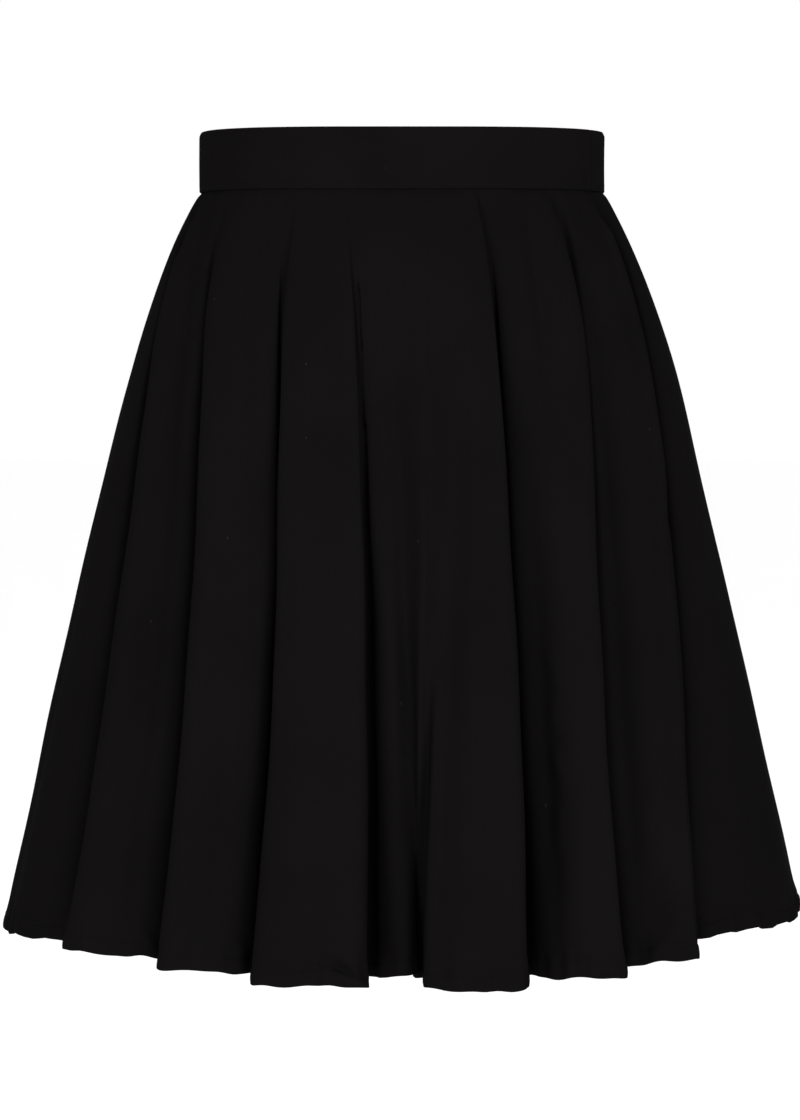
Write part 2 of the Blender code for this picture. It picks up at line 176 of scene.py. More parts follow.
# Levels of the rows: mm below the waist seam, and mm above the hem's edge
TOP_ROWS = (-2.2, -1.2, -0.3, 0.4, 1.2, 2.2, 3.5, 5.2, 7.5, 10.5)
HEM_ROWS = (19, 16, 13.8, 12.2, 11, 10.2, 9.7, 9.2, 8.4, 7.2, 5.8, 4.4, 3, 1.8, 0.9, 0.3, 0)
BODY_ROWS = 80

# More columns stand this far beside each seam, in control points
BESIDE_SEAM = (0.012, 0.03, 0.055)

# Soft creases, listed one by one. Fold and across say where round the skirt, across in control points from
# the fold's left edge. The drop, the half length, the width and the height are in mm, and a negative height
# is a trough. The turn is in degrees from straight down the cloth, positive towards +X lower down.
Crease = namedtuple("Crease", "fold across drop half_length width turn height")
CREASES = [
    Crease(1, 1.15, 270, 230, 9, 0, -4),
    Crease(1, 0.35, 200, 150, 7, 1, 1.3),
    Crease(1, 1.75, 455, 9, 3.5, 48, 1.6),
    Crease(1, 1.45, 450, 12, 3.5, 40, -1.6),
    Crease(2, 0.45, 300, 180, 9, 0, 1.8),
    Crease(2, 1.3, 340, 150, 9, -1, -3.1),
    Crease(2, 1.2, 120, 60, 6, 2, -1.3),
    Crease(2, 1.6, 440, 14, 3, 78, 1.6),
    Crease(2, 1.7, 450, 15, 2.6, 84, -1.4),
    Crease(2, 1.5, 461, 12, 2.4, 80, 1.3),
    Crease(3, 0.7, 250, 210, 8, 0, 1.3),
    Crease(3, 1.3, 200, 130, 7, 1, -0.9),
    Crease(3, 1.95, 466, 7, 5, 12, 4.3),
    Crease(3, 1.75, 463, 10, 3.5, 35, -2.3),
    Crease(3, 1.62, 463, 15, 2.6, 66, 3.2),
    Crease(3, 1.5, 458, 16, 2.8, 70, -2.4),
    Crease(3, 1.3, 464, 12, 2.6, 74, 1.4),
    Crease(4, 1.0, 300, 150, 12, 0, 1.4),
    Crease(5, 0.3, 360, 120, 8, 0, -2.5),
    Crease(5, 0.9, 260, 190, 9, 0, 1.6),
    Crease(5, 1.6, 120, 70, 6, -2, -1.1),
    Crease(5, 0.25, 462, 10, 3.2, 50, 2),
    Crease(6, 1.0, 81, 58, 6, 0, -3.4),
    Crease(6, 0.42, 310, 165, 10, 0, -6.2),
    Crease(6, 1.1, 300, 180, 10, 0, 1.8),
    Crease(6, 0.72, 290, 11, 4, 24, 1.4),
    Crease(6, 0.66, 318, 9, 4, -18, 1.3),
    Crease(6, 0.7, 346, 12, 4, 20, 1.6),
    Crease(6, 0.64, 380, 14, 4.5, -10, 1.3),
    Crease(7, 0.33, 280, 190, 9, 0, -6.0),
    Crease(7, 1.1, 250, 190, 9, 0, 1.6),
    Crease(7, 1.65, 330, 130, 7, 0, -1.6),
    Crease(7, 0.95, 436, 22, 11, 0, -5),
    Crease(7, 1.0, 456, 17, 4.5, -38, 2.5),
    Crease(8, 0.5, 260, 190, 14, 0, 2),
    Crease(8, 1.3, 300, 150, 12, 1, -2.7),
    Crease(8, 0.2, 400, 60, 10, 3, -2.2),
    Crease(9, 0.5, 240, 180, 9, 0, -3.2),
    Crease(9, 1.2, 300, 150, 8, 1, 1.6),
    Crease(9, 1.6, 455, 11, 3.5, 44, 1.8),
    Crease(10, 1.1, 280, 190, 9, 0, -3.6),
    Crease(10, 0.4, 120, 60, 7, -2, 1.3),
    Crease(10, 0.7, 448, 14, 4, -35, 2),
    Crease(11, 0.8, 320, 140, 8, 1, -2.7),
    Crease(11, 1.3, 180, 110, 7, 0, 1.3),
    Crease(12, 0.45, 300, 150, 9, 0, -2.7),
    Crease(12, 1.6, 330, 120, 8, -1, -2.3),
    Crease(12, 1.3, 457, 10, 3.2, 50, 1.8),
    Crease(13, 1.2, 270, 200, 9, 0, -3.8),
    Crease(13, 0.4, 230, 130, 8, 1, 1.4),
    Crease(13, 0.5, 450, 14, 3.2, 74, 1.4),
    Crease(14, 0.5, 300, 170, 10, 0, -3.4),
    Crease(14, 1.35, 210, 130, 9, -1, 1.6),
    Crease(14, 1.0, 440, 20, 10, 0, -4),
    Crease(0, 1.0, 290, 180, 12, 0, -3.6),
    Crease(0, 0.4, 180, 110, 9, 1, 1.4),
    Crease(0, 1.5, 452, 12, 3.6, -42, 1.8),
]

# Long soft unevenness of the hanging cloth: waves a fold, waves down the skirt, height in mm and where each
# starts. None of it is at the waist seam, and it comes in between these two drops.
WANDER_FADE = (0.01, 0.12)
Wander = namedtuple("Wander", "waves_per_fold waves_down height start")
WANDERS = [
    Wander(0.61, 1.3, 0.55, 0.4),
    Wander(1.37, -0.8, 0.45, 2.1),
    Wander(2.21, 2.1, 0.28, 4.4),
    Wander(3.13, -3.4, 0.16, 1.2),
    Wander(0.87, 4.6, 0.20, 5.3),
]

# Puckers along the hem's sewing: length of a wave in mm, height in mm, where each starts, and how fast it
# comes and goes along the hem
Pucker = namedtuple("Pucker", "wave height start swells_per_metre")
PUCKERS = [
    Pucker(9.0, 0.55, 0.3, 5.1),
    Pucker(14.5, 0.6, 1.9, 3.3),
    Pucker(24.0, 0.6, 4.0, 2.2),
]
# Waves of the hem's edge itself: length and height in mm, and where each starts
HemWave = namedtuple("HemWave", "length height start")
HEM_WAVES = [HemWave(34, 0.5, 0.7), HemWave(57, 0.6, 2.9), HemWave(19, 0.25, 5.0)]
# Stretches of the hem that pucker more: fold, control points from the fold's left edge, and how many times as
# much
Gathered = namedtuple("Gathered", "fold start end times")
GATHERED = [
    Gathered(8, -0.3, 2.3, 5.5),
    Gathered(3, 0.6, 2.2, 2.6),
    Gathered(2, 0.9, 2.1, 1.6),
    Gathered(5, -0.2, 0.8, 1.7),
    Gathered(10, 0.2, 1.8, 1.8),
    Gathered(13, -0.1, 1.4, 2.2),
    Gathered(0, 0.3, 1.9, 1.9),
]

# Both pressed edges at the side seams stand proud over a stretch below the waist: place, height and dip
# in mm, and drops in mm. The sign says which way the edge faces round the skirt.
PressedEdge = namedtuple("PressedEdge", "place side height dip start end")
PRESSED_RAMP_IN = 0.012
PRESSED_RAMP_OUT = 0.05
PRESSED_RIDGE_PLACE = -0.0016
PRESSED_RIDGE_WIDTH = 0.0042
PRESSED_RIDGE_END = 0.0004
PRESSED_DIP_PLACE = 0.004
PRESSED_DIP_WIDTH = 0.005
PRESSED_DIP_START = -0.0002
PRESSED_EDGES = [
    PressedEdge(LEFT_SIDE_SEAM, 1, 3.2, 8, 14, 215),
    PressedEdge(RIGHT_SIDE_SEAM, -1, 1.7, 4, 34, 140),
]

# Waistband's finish, in metres
BAND_EDGE_ROUND = 0.0009
BAND_STEP_DEG = 1.2
BAND_ROWS = 22
EDGE_STITCH_ABOVE_SEAM = 0.0025
BAND_STITCH_SINK = 0.0002
BAND_END_ROUND = 0.0011
BAND_CORNER = 0.0011
BAND_CORNER_HEIGHT = 0.004
BAND_CORNER_SPREAD = 0.12
BAND_WAVE_HEIGHTS = (0.0002, 0.00016)
BAND_PUCKER_HEIGHT = 0.0001
BAND_PUCKER_WAVE = 0.0078
BAND_PUCKER_ABOVE_STITCH = 0.0015
BAND_PUCKER_REACH = 0.003
BAND_GROOVE_WIDTH = 0.0007
# Soft dents and ridges of the waistband: degrees round, mm above its lower edge, half length along it and
# width in mm, turn in degrees from level, and height in mm
BandCrease = namedtuple("BandCrease", "angle above half_length width turn height")
BAND_CREASES = [
    BandCrease(-66, 20, 14, 5, 70, 0.55),
    BandCrease(-58, 14, 11, 4, 76, -0.4),
    BandCrease(-52, 22, 10, 4, 84, 0.3),
    BandCrease(60, 8, 9, 2.4, -52, 0.8),
    BandCrease(64, 6, 8, 2.4, -50, -0.6),
    BandCrease(-20, 17, 40, 6, 4, 0.2),
    BandCrease(18, 20, 46, 7, -3, -0.2),
    BandCrease(120, 16, 30, 5, 6, 0.25),
    BandCrease(165, 9, 9, 2.6, 55, 0.5),
    BandCrease(200, 10, 9, 2.6, -58, -0.4),
    BandCrease(235, 18, 28, 5, -5, 0.25),
]

# Sewing, in metres
STITCH_PITCH = 0.0026
STITCH_LENGTH = 0.0021
THREAD_RADIUS = 0.00024
STITCH_SIDES = 6
STITCH_PROUD = 0.00012
STITCH_DIP = 0.00022

# Zip
TAPE_WIDTH = 0.022
TAPE_THICKNESS = 0.0008
TAPE_TOP_INSET = 0.002
TAPE_CLEARANCE = 0.0004
COIL_PITCH = 0.0011
COIL_HALF_WIDTH = 0.0021
COIL_RADIUS = 0.00042
COIL_END_CLEAR = 0.002
ZIP_MIDDLE_OF_BAND = -0.018


def smooth(low, high, value):
    """0 below low, 1 above high and an even S between."""
    s = np.clip((value - low) / (high - low), 0, 1)
    return s * s * (3 - 2 * s)


def swell(drop):
    """How far the hips push the cloth out within the first few centimetres below the waist."""
    return HIP_SWELL * (1 - math.exp(-drop / HIP_FADE))


def hull(drop, angles):
    """Points of the ellipse that the crests hang on, at angles in radians from the front, and its normals."""
    half_width = WAIST_HALF_WIDTH + FLARE_SIDE * drop + swell(drop)
    half_depth = WAIST_HALF_DEPTH + FLARE_FRONT * drop + swell(drop)
    points = np.stack([half_width * np.sin(angles), -half_depth * np.cos(angles)], axis=1)
    normals = np.stack([half_depth * np.sin(angles), -half_width * np.cos(angles)], axis=1)
    return points, normals / np.linalg.norm(normals, axis=1, keepdims=True)


def front_dip(points, share):
    """How much lower these points of a ring lie, since the waistline dips at the front."""
    forward = -points[:, 1] / np.linalg.norm(points[:, :2], axis=1)
    return FRONT_DIP * (1 - share) ** 2 * np.clip(forward, 0, 1) ** 1.5


def edge_angle(at_waist, at_hem, bow, share):
    return at_hem + (at_waist - at_hem) * (1 - share) ** bow


def fold_controls(drop, scale):
    """Five control points for each fold of the ring at this drop. The third coordinate is how far each
    hangs below its ring's level."""
    share = drop / SKIRT_DROP
    soft = max(0, 1 - drop / SOFT_TOP) ** 2
    angles, insets, hangs = [], [], []
    for i, (crest, valley) in enumerate(zip(CRESTS, VALLEYS)):
        after = CRESTS[(i + 1) % len(CRESTS)]
        full_turn = 360 * (i == len(CRESTS) - 1)
        left = edge_angle(crest.left_waist, crest.left_hem, crest.left_bow, share)
        right = edge_angle(crest.right_waist, crest.right_hem, crest.right_bow, share)
        next_left = edge_angle(after.left_waist, after.left_hem, after.left_bow, share) + full_turn
        width = right - left
        lean = valley.lean_middle * 4 * share * (1 - share) + valley.lean_hem * share
        floor_middle = (right + next_left) / 2 + lean
        half_floor = valley.floor_waist * (1 - share) + valley.floor_hem * share + soft * SOFT_FLOOR * width
        shoulder = soft * SOFT_SHOULDER * width
        angles += [left + shoulder, (left + right) / 2, right - shoulder]
        angles += [floor_middle - half_floor, floor_middle + half_floor]
        depth = valley.depth / 1000 * scale * share**valley.late
        tucks = (crest.left_tuck, crest.middle_tuck, crest.right_tuck)
        insets += [tuck / 1000 * share**crest.late for tuck in tucks]
        insets += [depth, depth]
        sag = VALLEY_SAG * depth * share
        lifts = (crest.left_lift, (crest.left_lift + crest.right_lift) / 2, crest.right_lift)
        hangs += [-lift / 1000 * share**2 for lift in lifts] + [sag, sag]
    points, normals = hull(drop, np.radians(angles))
    return np.column_stack([points - normals * np.array(insets)[:, None], hangs])


def closed_curve(points, places):
    """Points of a closed centripetal curve at these places, counted in control points."""
    whole = np.floor(places).astype(int)
    s = (places - whole)[:, None]
    before, start, end, after = (points[(whole + k) % len(points)] for k in (-1, 0, 1, 2))
    first, middle, last = (
        np.maximum(np.linalg.norm((b - a)[:, :2], axis=1, keepdims=True) ** 0.5, 1e-4)
        for a, b in ((before, start), (start, end), (end, after))
    )
    leave = ((start - before) / first - (end - before) / (first + middle) + (end - start) / middle) * middle
    arrive = ((end - start) / middle - (after - start) / (middle + last) + (after - end) / last) * middle
    return (
        (2 * s**3 - 3 * s**2 + 1) * start
        + (s**3 - 2 * s**2 + s) * leave
        + (3 * s**2 - 2 * s**3) * end
        + (s**3 - s**2) * arrive
    )


def ring_length(ring):
    return float(np.linalg.norm((np.roll(ring, -1, 0) - ring)[:, :2], axis=1).sum())


@lru_cache
def waist_girth():
    return ring_length(hull(0, np.linspace(0, 2 * math.pi, 721)[:-1])[0])


def slope_length(drop):
    """The length of cloth from the waist seam down to this drop."""
    drops = np.linspace(0, drop, 60)
    half_widths = FLARE_SIDE * drops + HIP_SWELL * (1 - np.exp(-drops / HIP_FADE))
    return float(np.hypot(np.diff(drops), np.diff(half_widths)).sum())


def depth_scale(drop):
    """The scale of the valleys at which the ring is as long as the circular cut there."""
    target = waist_girth() + 2 * math.pi * slope_length(drop)
    places = np.arange(0, PLACES, 1 / 6)
    low, high = 0.0, 2.0
    for _ in range(24):
        middle = (low + high) / 2
        if ring_length(closed_curve(fold_controls(drop, middle), places)) < target:
            low = middle
        else:
            high = middle
    return (low + high) / 2


def column_places():
    """Where the columns stand round the skirt, with more of them beside the seams."""
    steps = np.resize(FINE_STEPS, PLACES)
    even = np.concatenate([i + np.arange(count) / count for i, count in enumerate(steps)])
    beside = [
        seam + side * np.array(BESIDE_SEAM)
        for seam in (RIGHT_SIDE_SEAM, LEFT_SIDE_SEAM, CENTRE_BACK_SEAM)
        for side in (-1, 1)
    ]
    return np.unique(np.concatenate([even, *beside]))


def row_drops():
    """How far below the waist seam the rows lie, closer together at both of the cloth's edges."""
    top = np.array(TOP_ROWS) / 1000
    hem = SKIRT_DROP - np.array(HEM_ROWS) / 1000
    body = np.linspace(top[-1], hem[0], BODY_ROWS + 2)[1:-1]
    return np.concatenate([top, body, hem])


Grid = namedtuple("Grid", "places drops points arcs outward")


def outward_of(points):
    """Unit normals of a closed grid, out of the skirt."""
    along = np.roll(points, -1, 1) - np.roll(points, 1, 1)
    down = np.gradient(points, axis=0)
    outward = np.cross(down, along)
    return outward / np.linalg.norm(outward, axis=2, keepdims=True)


@lru_cache
def hanging_cloth():
    """The outer face of the whole skirt before its creases: rows down from the waist and columns round it."""
    places, drops = column_places(), row_drops()
    rings = []
    for drop in drops:
        level = max(drop, 0)
        ring = closed_curve(fold_controls(level, depth_scale(level)), places)
        ring[:, 2] = -BAND_HEIGHT / 2 - SEAM_GAP - drop - ring[:, 2] - front_dip(ring, level / SKIRT_DROP)
        rings.append(ring)
    points = np.array(rings)
    steps = np.linalg.norm(np.diff(points, axis=1), axis=2)
    arcs = np.concatenate([np.zeros((len(drops), 1)), np.cumsum(steps, axis=1)], axis=1)
    return Grid(places, drops, points, arcs, outward_of(points))


def arc_at(grid, place):
    """How far round each row this place is."""
    return np.array([np.interp(place, grid.places, arcs) for arcs in grid.arcs])


def crease_bump(crease, along_it, beside_it):
    """The height of one crease, at these places along it and beside it."""
    fade = np.exp(-((np.abs(along_it) / (crease.half_length / 1000)) ** 3))
    return crease.height / 1000 * fade * np.exp(-((beside_it / (crease.width / 1000)) ** 2))


def crease_relief(grid):
    """The height of the creases at every point of the grid."""
    relief = np.zeros(grid.arcs.shape)
    drops = grid.drops[:, None]
    for crease in CREASES:
        turn = math.radians(crease.turn)
        across = grid.arcs - arc_at(grid, crease.fold * PLACES_PER_FOLD + crease.across)[:, None]
        below = drops - crease.drop / 1000
        along_it = across * math.sin(turn) + below * math.cos(turn)
        beside_it = across * math.cos(turn) - below * math.sin(turn)
        relief += crease_bump(crease, along_it, beside_it)
    return relief


def wander_relief(grid):
    """Slow unevenness, none of it at the waist seam."""
    relief = np.zeros(grid.arcs.shape)
    folds = grid.places[None, :] / PLACES_PER_FOLD
    share = grid.drops[:, None] / SKIRT_DROP
    for wander in WANDERS:
        phase = wander.waves_per_fold * folds + wander.waves_down * share
        relief += wander.height / 1000 * np.sin(2 * math.pi * phase + wander.start)
    return relief * smooth(*WANDER_FADE, grid.drops)[:, None]


def hem_relief(grid):
    """The hem's sewn groove, the soft roll of cloth below it and its puckers."""
    above = (SKIRT_DROP - grid.drops)[:, None]
    around = grid.arcs[-1]
    waves = np.zeros(len(around))
    for pucker in PUCKERS:
        phase = 2 * math.pi * around / (pucker.wave / 1000) + pucker.start
        swells = 0.5 + 0.5 * np.sin(2 * math.pi * around * pucker.swells_per_metre + 3 * pucker.start)
        waves += pucker.height / 1000 * np.sin(phase + 1.2 * np.sin(phase / 3.7)) * swells
    for stretch in GATHERED:
        start = stretch.fold * PLACES_PER_FOLD + stretch.start
        end = stretch.fold * PLACES_PER_FOLD + stretch.end
        rise = smooth(start - GATHER_FADE, start + GATHER_FADE, grid.places)
        rise = rise * (1 - smooth(end - GATHER_FADE, end + GATHER_FADE, grid.places))
        waves *= 1 + (stretch.times - 1) * rise
    groove = -HEM_GROOVE_DEPTH * np.exp(-(((above - HEM_DEPTH) / HEM_GROOVE_WIDTH) ** 2))
    below_groove = 1 - smooth(HEM_DEPTH - HEM_ROLL_RAMP, HEM_DEPTH, above)
    roll = HEM_ROLL_HEIGHT * smooth(0, HEM_ROLL_RAMP, above) * below_groove
    reach = np.exp(-(((above - PUCKER_MIDDLE) / PUCKER_REACH) ** 2))
    return groove + roll + reach * waves[None, :]


def hem_rise(grid):
    """How far the hem's edge rises and falls along it, fading out above it."""
    around = grid.arcs[-1]
    waves = np.zeros(len(around))
    for wave in HEM_WAVES:
        phase = 2 * math.pi * around / (wave.length / 1000) + wave.start
        waves += wave.height / 1000 * np.sin(phase + 0.9 * np.sin(phase / 2.7))
    above = (SKIRT_DROP - grid.drops)[:, None]
    return np.exp(-((above / HEM_WAVE_REACH) ** 2)) * waves[None, :]


def waist_relief(grid):
    """The cloth turns in under the waistband's edge, and eases a little below it."""
    drops = grid.drops[:, None]
    around = grid.arcs[0]
    turn = -TUCK_DEPTH * (1 - smooth(*TUCK_RAMP, drops))
    ease = EASE_HEIGHT * np.sin(2 * math.pi * around / EASE_WAVE + 1.5 * np.sin(around * 60))
    return turn + ease[None, :] * np.exp(-(((drops - EASE_REACH) / EASE_REACH) ** 2))


def seam_relief(grid):
    """Cloth rolls into each seam, deepest along the zip, and stands proud along the pressed side edges."""
    relief = np.zeros(grid.arcs.shape)
    for seam in (RIGHT_SIDE_SEAM, LEFT_SIDE_SEAM, CENTRE_BACK_SEAM):
        away = grid.arcs - arc_at(grid, seam)[:, None]
        depth = np.full(len(grid.drops), SEAM_ROLL_DEPTH)
        if seam == CENTRE_BACK_SEAM:
            zip_end = (ZIP_LENGTH_IN_SKIRT - ZIP_SEAM_FADE, ZIP_LENGTH_IN_SKIRT + ZIP_SEAM_FADE)
            depth *= 1 + ZIP_SEAM_DEEPER * (1 - smooth(*zip_end, grid.drops))
        relief -= depth[:, None] * np.exp(-((away / SEAM_ROLL_WIDTH) ** 2))
    for edge in PRESSED_EDGES:
        away = edge.side * (grid.arcs - arc_at(grid, edge.place)[:, None])
        stretch = smooth(edge.start / 1000, edge.start / 1000 + PRESSED_RAMP_IN, grid.drops)
        stretch = stretch * (1 - smooth(edge.end / 1000 - PRESSED_RAMP_OUT, edge.end / 1000, grid.drops))
        ridge = np.exp(-(((away - PRESSED_RIDGE_PLACE) / PRESSED_RIDGE_WIDTH) ** 2))
        proud = edge.height / 1000 * ridge * (away < PRESSED_RIDGE_END)
        hollow = np.exp(-(((away - PRESSED_DIP_PLACE) / PRESSED_DIP_WIDTH) ** 2))
        sunk = edge.dip / 1000 * hollow * (away > PRESSED_DIP_START)
        relief += stretch[:, None] * (proud - sunk)
    return relief


@lru_cache
def finished_cloth(crease_strength):
    """The outer face of the whole skirt with its seams, creases, puckers and hem."""
    grid = hanging_cloth()
    relief = crease_strength * (crease_relief(grid) + wander_relief(grid))
    relief += hem_relief(grid) + waist_relief(grid) + seam_relief(grid)
    points = grid.points + grid.outward * relief[..., None]
    points[..., 2] += hem_rise(grid)
    points[-1] -= grid.outward[-1] * HEM_EDGE_ROUND
    return grid._replace(points=points, outward=outward_of(points))


def shell_mesh(name, outer, inner, pattern):
    """A closed thin shell between two grids of points, with its pattern's places as its UV map."""
    rows, columns = outer.shape[:2]
    index = np.arange(rows * columns).reshape(rows, columns)
    top_left, top_right = index[:-1, :-1], index[:-1, 1:]
    low_left, low_right = index[1:, :-1], index[1:, 1:]
    front = np.stack([top_left, low_left, low_right, top_right], axis=-1).reshape(-1, 4)
    back = front[:, ::-1] + rows * columns
    rims = []
    for line in (index[0, ::-1], index[-1], index[:, 0], index[::-1, -1]):
        under = line + rows * columns
        rims.append(np.stack([line[:-1], under[:-1], under[1:], line[1:]], axis=-1))
    faces = np.concatenate([front, back, *rims])
    points = np.concatenate([outer.reshape(-1, 3), inner.reshape(-1, 3)])
    both = np.concatenate([pattern.reshape(-1, 2)] * 2)
    return patterned_object(name, points, faces.tolist(), both[faces.reshape(-1)])


def add_object(name, mesh):
    obj = bpy.data.objects.new(name, mesh)
    bpy.context.scene.collection.objects.link(obj)
    return obj


def patterned_object(name, points, faces, corners):
    """A smooth object of these points and faces. The corners are the places of the faces' corners on the
    flat pattern, for its UV map."""
    mesh = bpy.data.meshes.new(name)
    mesh.from_pydata(points.reshape(-1, 3).tolist(), [], faces)
    layer = mesh.uv_layers.new(name="pattern")
    layer.data.foreach_set("uv", corners.astype(np.float32).ravel())
    mesh.shade_smooth()
    return add_object(name, mesh)


def panel_columns(grid, start, end):
    """Columns from one place to another, past the join of the ring where the panel crosses it."""
    within = (grid.places >= start) & (grid.places <= end)
    wrapped = grid.places <= end - PLACES
    return np.concatenate([np.nonzero(within)[0], np.nonzero(wrapped)[0]])


def panel_pattern(grid, columns):
    """Where each point of a panel lies on its flat cut, in metres from the centre of the circle."""
    steps = np.linalg.norm(np.diff(grid.points[:, columns], axis=1), axis=2)
    arcs = np.concatenate([np.zeros((len(grid.drops), 1)), np.cumsum(steps, axis=1)], axis=1)
    arcs -= arcs[:, -1:] / 2
    radii = waist_girth() / (2 * math.pi) + np.array([slope_length(max(drop, 0)) for drop in grid.drops])
    turns = arcs / radii[:, None]
    return np.stack([radii[:, None] * np.sin(turns), -radii[:, None] * np.cos(turns)], axis=-1), arcs


def cut_area(grid, columns):
    """The flat area of a panel: its share of the circle's ring of cloth."""
    _, arcs = panel_pattern(grid, columns)
    widths = arcs[:, -1] - arcs[:, 0]
    lengths = np.array([slope_length(max(drop, 0)) for drop in grid.drops])
    return float(np.sum((widths[1:] + widths[:-1]) / 2 * np.diff(lengths)))


def cloth_thickness(drops):
    """One layer of cloth, and nearly two where the hem is turned up."""
    above = SKIRT_DROP - drops
    turned_up = 1 - smooth(HEM_DEPTH, HEM_DEPTH + HEM_FOLD_STEP, above)
    edge = 1 - HEM_EDGE_THINNER * (above < HEM_EDGE_ROUND)
    return CLOTH_THICKNESS * (1 + HEM_FOLD_THICKER * turned_up) * edge


def make_panel(name, start, end, crease_strength):
    grid = finished_cloth(crease_strength)
    columns = panel_columns(grid, start, end)
    outer = grid.points[:, columns]
    inner = outer - grid.outward[:, columns] * cloth_thickness(grid.drops)[:, None, None]
    pattern, _ = panel_pattern(grid, columns)
    return shell_mesh(name, outer, inner, pattern)


@lru_cache
def waist_arcs():
    """Angles round the waist, in radians, and how far each is from the front along the ellipse."""
    angles = np.radians(np.arange(-200, 401, 0.5))
    steps = np.linalg.norm(np.diff(hull(0, angles)[0], axis=0), axis=1)
    arcs = np.concatenate([[0], np.cumsum(steps)])
    return angles, arcs - np.interp(0, angles, arcs)


def arc_at_angle(angle):
    return np.interp(angle, *waist_arcs())


def band_relief(angles, above):
    """The height of the waistband's dents, its sewn groove and the puckers beside the sewing, for a column of
    angles and a row of heights above its lower edge."""
    arcs = arc_at_angle(angles)
    slow, fast = BAND_WAVE_HEIGHTS
    relief = slow * np.sin(angles * 7 + 0.7) * np.sin(above * 90) + fast * np.sin(angles * 17 + 2.2)
    for crease in BAND_CREASES:
        turn = math.radians(crease.turn)
        across = arcs - arc_at_angle(math.radians(crease.angle))
        up = above - crease.above / 1000
        along_it = across * math.cos(turn) + up * math.sin(turn)
        beside_it = up * math.cos(turn) - across * math.sin(turn)
        relief = relief + crease_bump(crease, along_it, beside_it)
    puckers = BAND_PUCKER_HEIGHT * np.sin(2 * math.pi * arcs / BAND_PUCKER_WAVE + 2 * np.sin(arcs * 41))
    over_stitch = above - EDGE_STITCH_ABOVE_SEAM
    near = np.exp(-(((over_stitch - BAND_PUCKER_ABOVE_STITCH) / BAND_PUCKER_REACH) ** 2))
    at_side = np.exp(-(((np.abs(np.sin(angles)) - 1) / BAND_CORNER_SPREAD) ** 2))
    at_top = smooth(BAND_HEIGHT - BAND_CORNER_HEIGHT, BAND_HEIGHT, above) ** 2
    relief = relief - BAND_CORNER * at_side * at_top
    groove = BAND_STITCH_SINK * np.exp(-((over_stitch / BAND_GROOVE_WIDTH) ** 2))
    return relief + puckers * near - groove


def band_section():
    """The waistband's closed section, up its outer face and down its inner one: how far each point is set
    in from the outer face, its height above the lower edge, and how much of the outer face's relief it
    takes."""
    radius = BAND_EDGE_ROUND
    turns = np.radians((22.5, 45, 67.5, 90))
    faces = np.unique(np.concatenate([
        np.linspace(radius, BAND_HEIGHT - radius, BAND_ROWS),
        EDGE_STITCH_ABOVE_SEAM + np.array((-0.0012, -0.0006, 0, 0.0006, 0.0012)),
    ]))
    corner_in, corner_up = radius * (1 - np.cos(turns)), radius * np.sin(turns)
    insets = [
        np.zeros(len(faces)),
        corner_in,
        BAND_WALL - corner_in[::-1],
        np.full(len(faces), BAND_WALL),
        BAND_WALL - corner_in,
        corner_in[::-1],
    ]
    top = BAND_HEIGHT - radius
    heights = [
        faces,
        top + corner_up,
        top + corner_up[::-1],
        faces[::-1],
        radius - corner_up,
        radius - corner_up[::-1],
    ]
    insets, heights = np.concatenate(insets), np.concatenate(heights)
    return insets, heights, 1 - smooth(0, BAND_WALL, insets)


def band_angles(start, end):
    """Angles of a stretch of the waistband, in radians, closer together at both ends."""
    gap = SEAM_GAP / 2
    arcs = arc_at_angle(np.radians((start, end)))
    count = round((end - start) / BAND_STEP_DEG)
    ends = np.array((0, 0.06, 0.2, 0.45, 0.8)) * BAND_END_ROUND
    places = np.linspace(arcs[0] + gap + 2 * BAND_END_ROUND, arcs[1] - gap - 2 * BAND_END_ROUND, count)
    places = np.concatenate([arcs[0] + gap + ends, places, arcs[1] - gap - ends[::-1]])
    angles, around = waist_arcs()
    return np.interp(places, around, angles), places - places[0], places[-1] - places


def make_band(name, start, end):
    """One stretch of the waistband, with its ends turned in."""
    insets, heights, share = band_section()
    angles, after_start, before_end = band_angles(start, end)
    points, outward = hull(0, angles)
    relief = band_relief(angles[:, None], heights[None, :]) * share[None, :]
    near_end = np.minimum(after_start, before_end)
    out_of_round = 1 - np.clip(near_end / BAND_END_ROUND, 0, 1)
    shrink = BAND_END_ROUND * (1 - np.sqrt(1 - out_of_round**2)) * 0.7
    middle = BAND_WALL / 2
    narrower = 1 - shrink / middle
    depth = middle + (insets[None, :] - middle) * narrower[:, None] - relief
    centre = BAND_HEIGHT / 2
    level = (heights[None, :] - centre) * (1 - shrink[:, None] / centre)
    rings = np.empty((len(angles), len(insets), 3))
    rings[..., :2] = points[:, None, :] + outward[:, None, :] * (BAND_PROUD - depth)[..., None]
    rings[..., 2] = level - front_dip(points, 0)[:, None]
    arcs = arc_at_angle(angles)
    pattern = np.stack(np.broadcast_arrays(arcs[:, None] + insets[None, :] * 0, heights[None, :]), axis=-1)
    return tube_mesh(name, rings, pattern)


def tube_mesh(name, rings, pattern):
    """A closed tube through rings of points, capped at both ends."""
    count, sides = rings.shape[:2]
    index = np.arange(count * sides).reshape(count, sides)
    after = np.roll(index, -1, 1)
    quads = np.stack([index[:-1], index[1:], after[1:], after[:-1]], axis=-1).reshape(-1, 4)
    faces = quads.tolist() + [index[0].tolist(), index[-1, ::-1].tolist()]
    corners = np.concatenate([quads.ravel(), index[0], index[-1, ::-1]])
    return patterned_object(name, rings, faces, pattern.reshape(-1, 2)[corners])


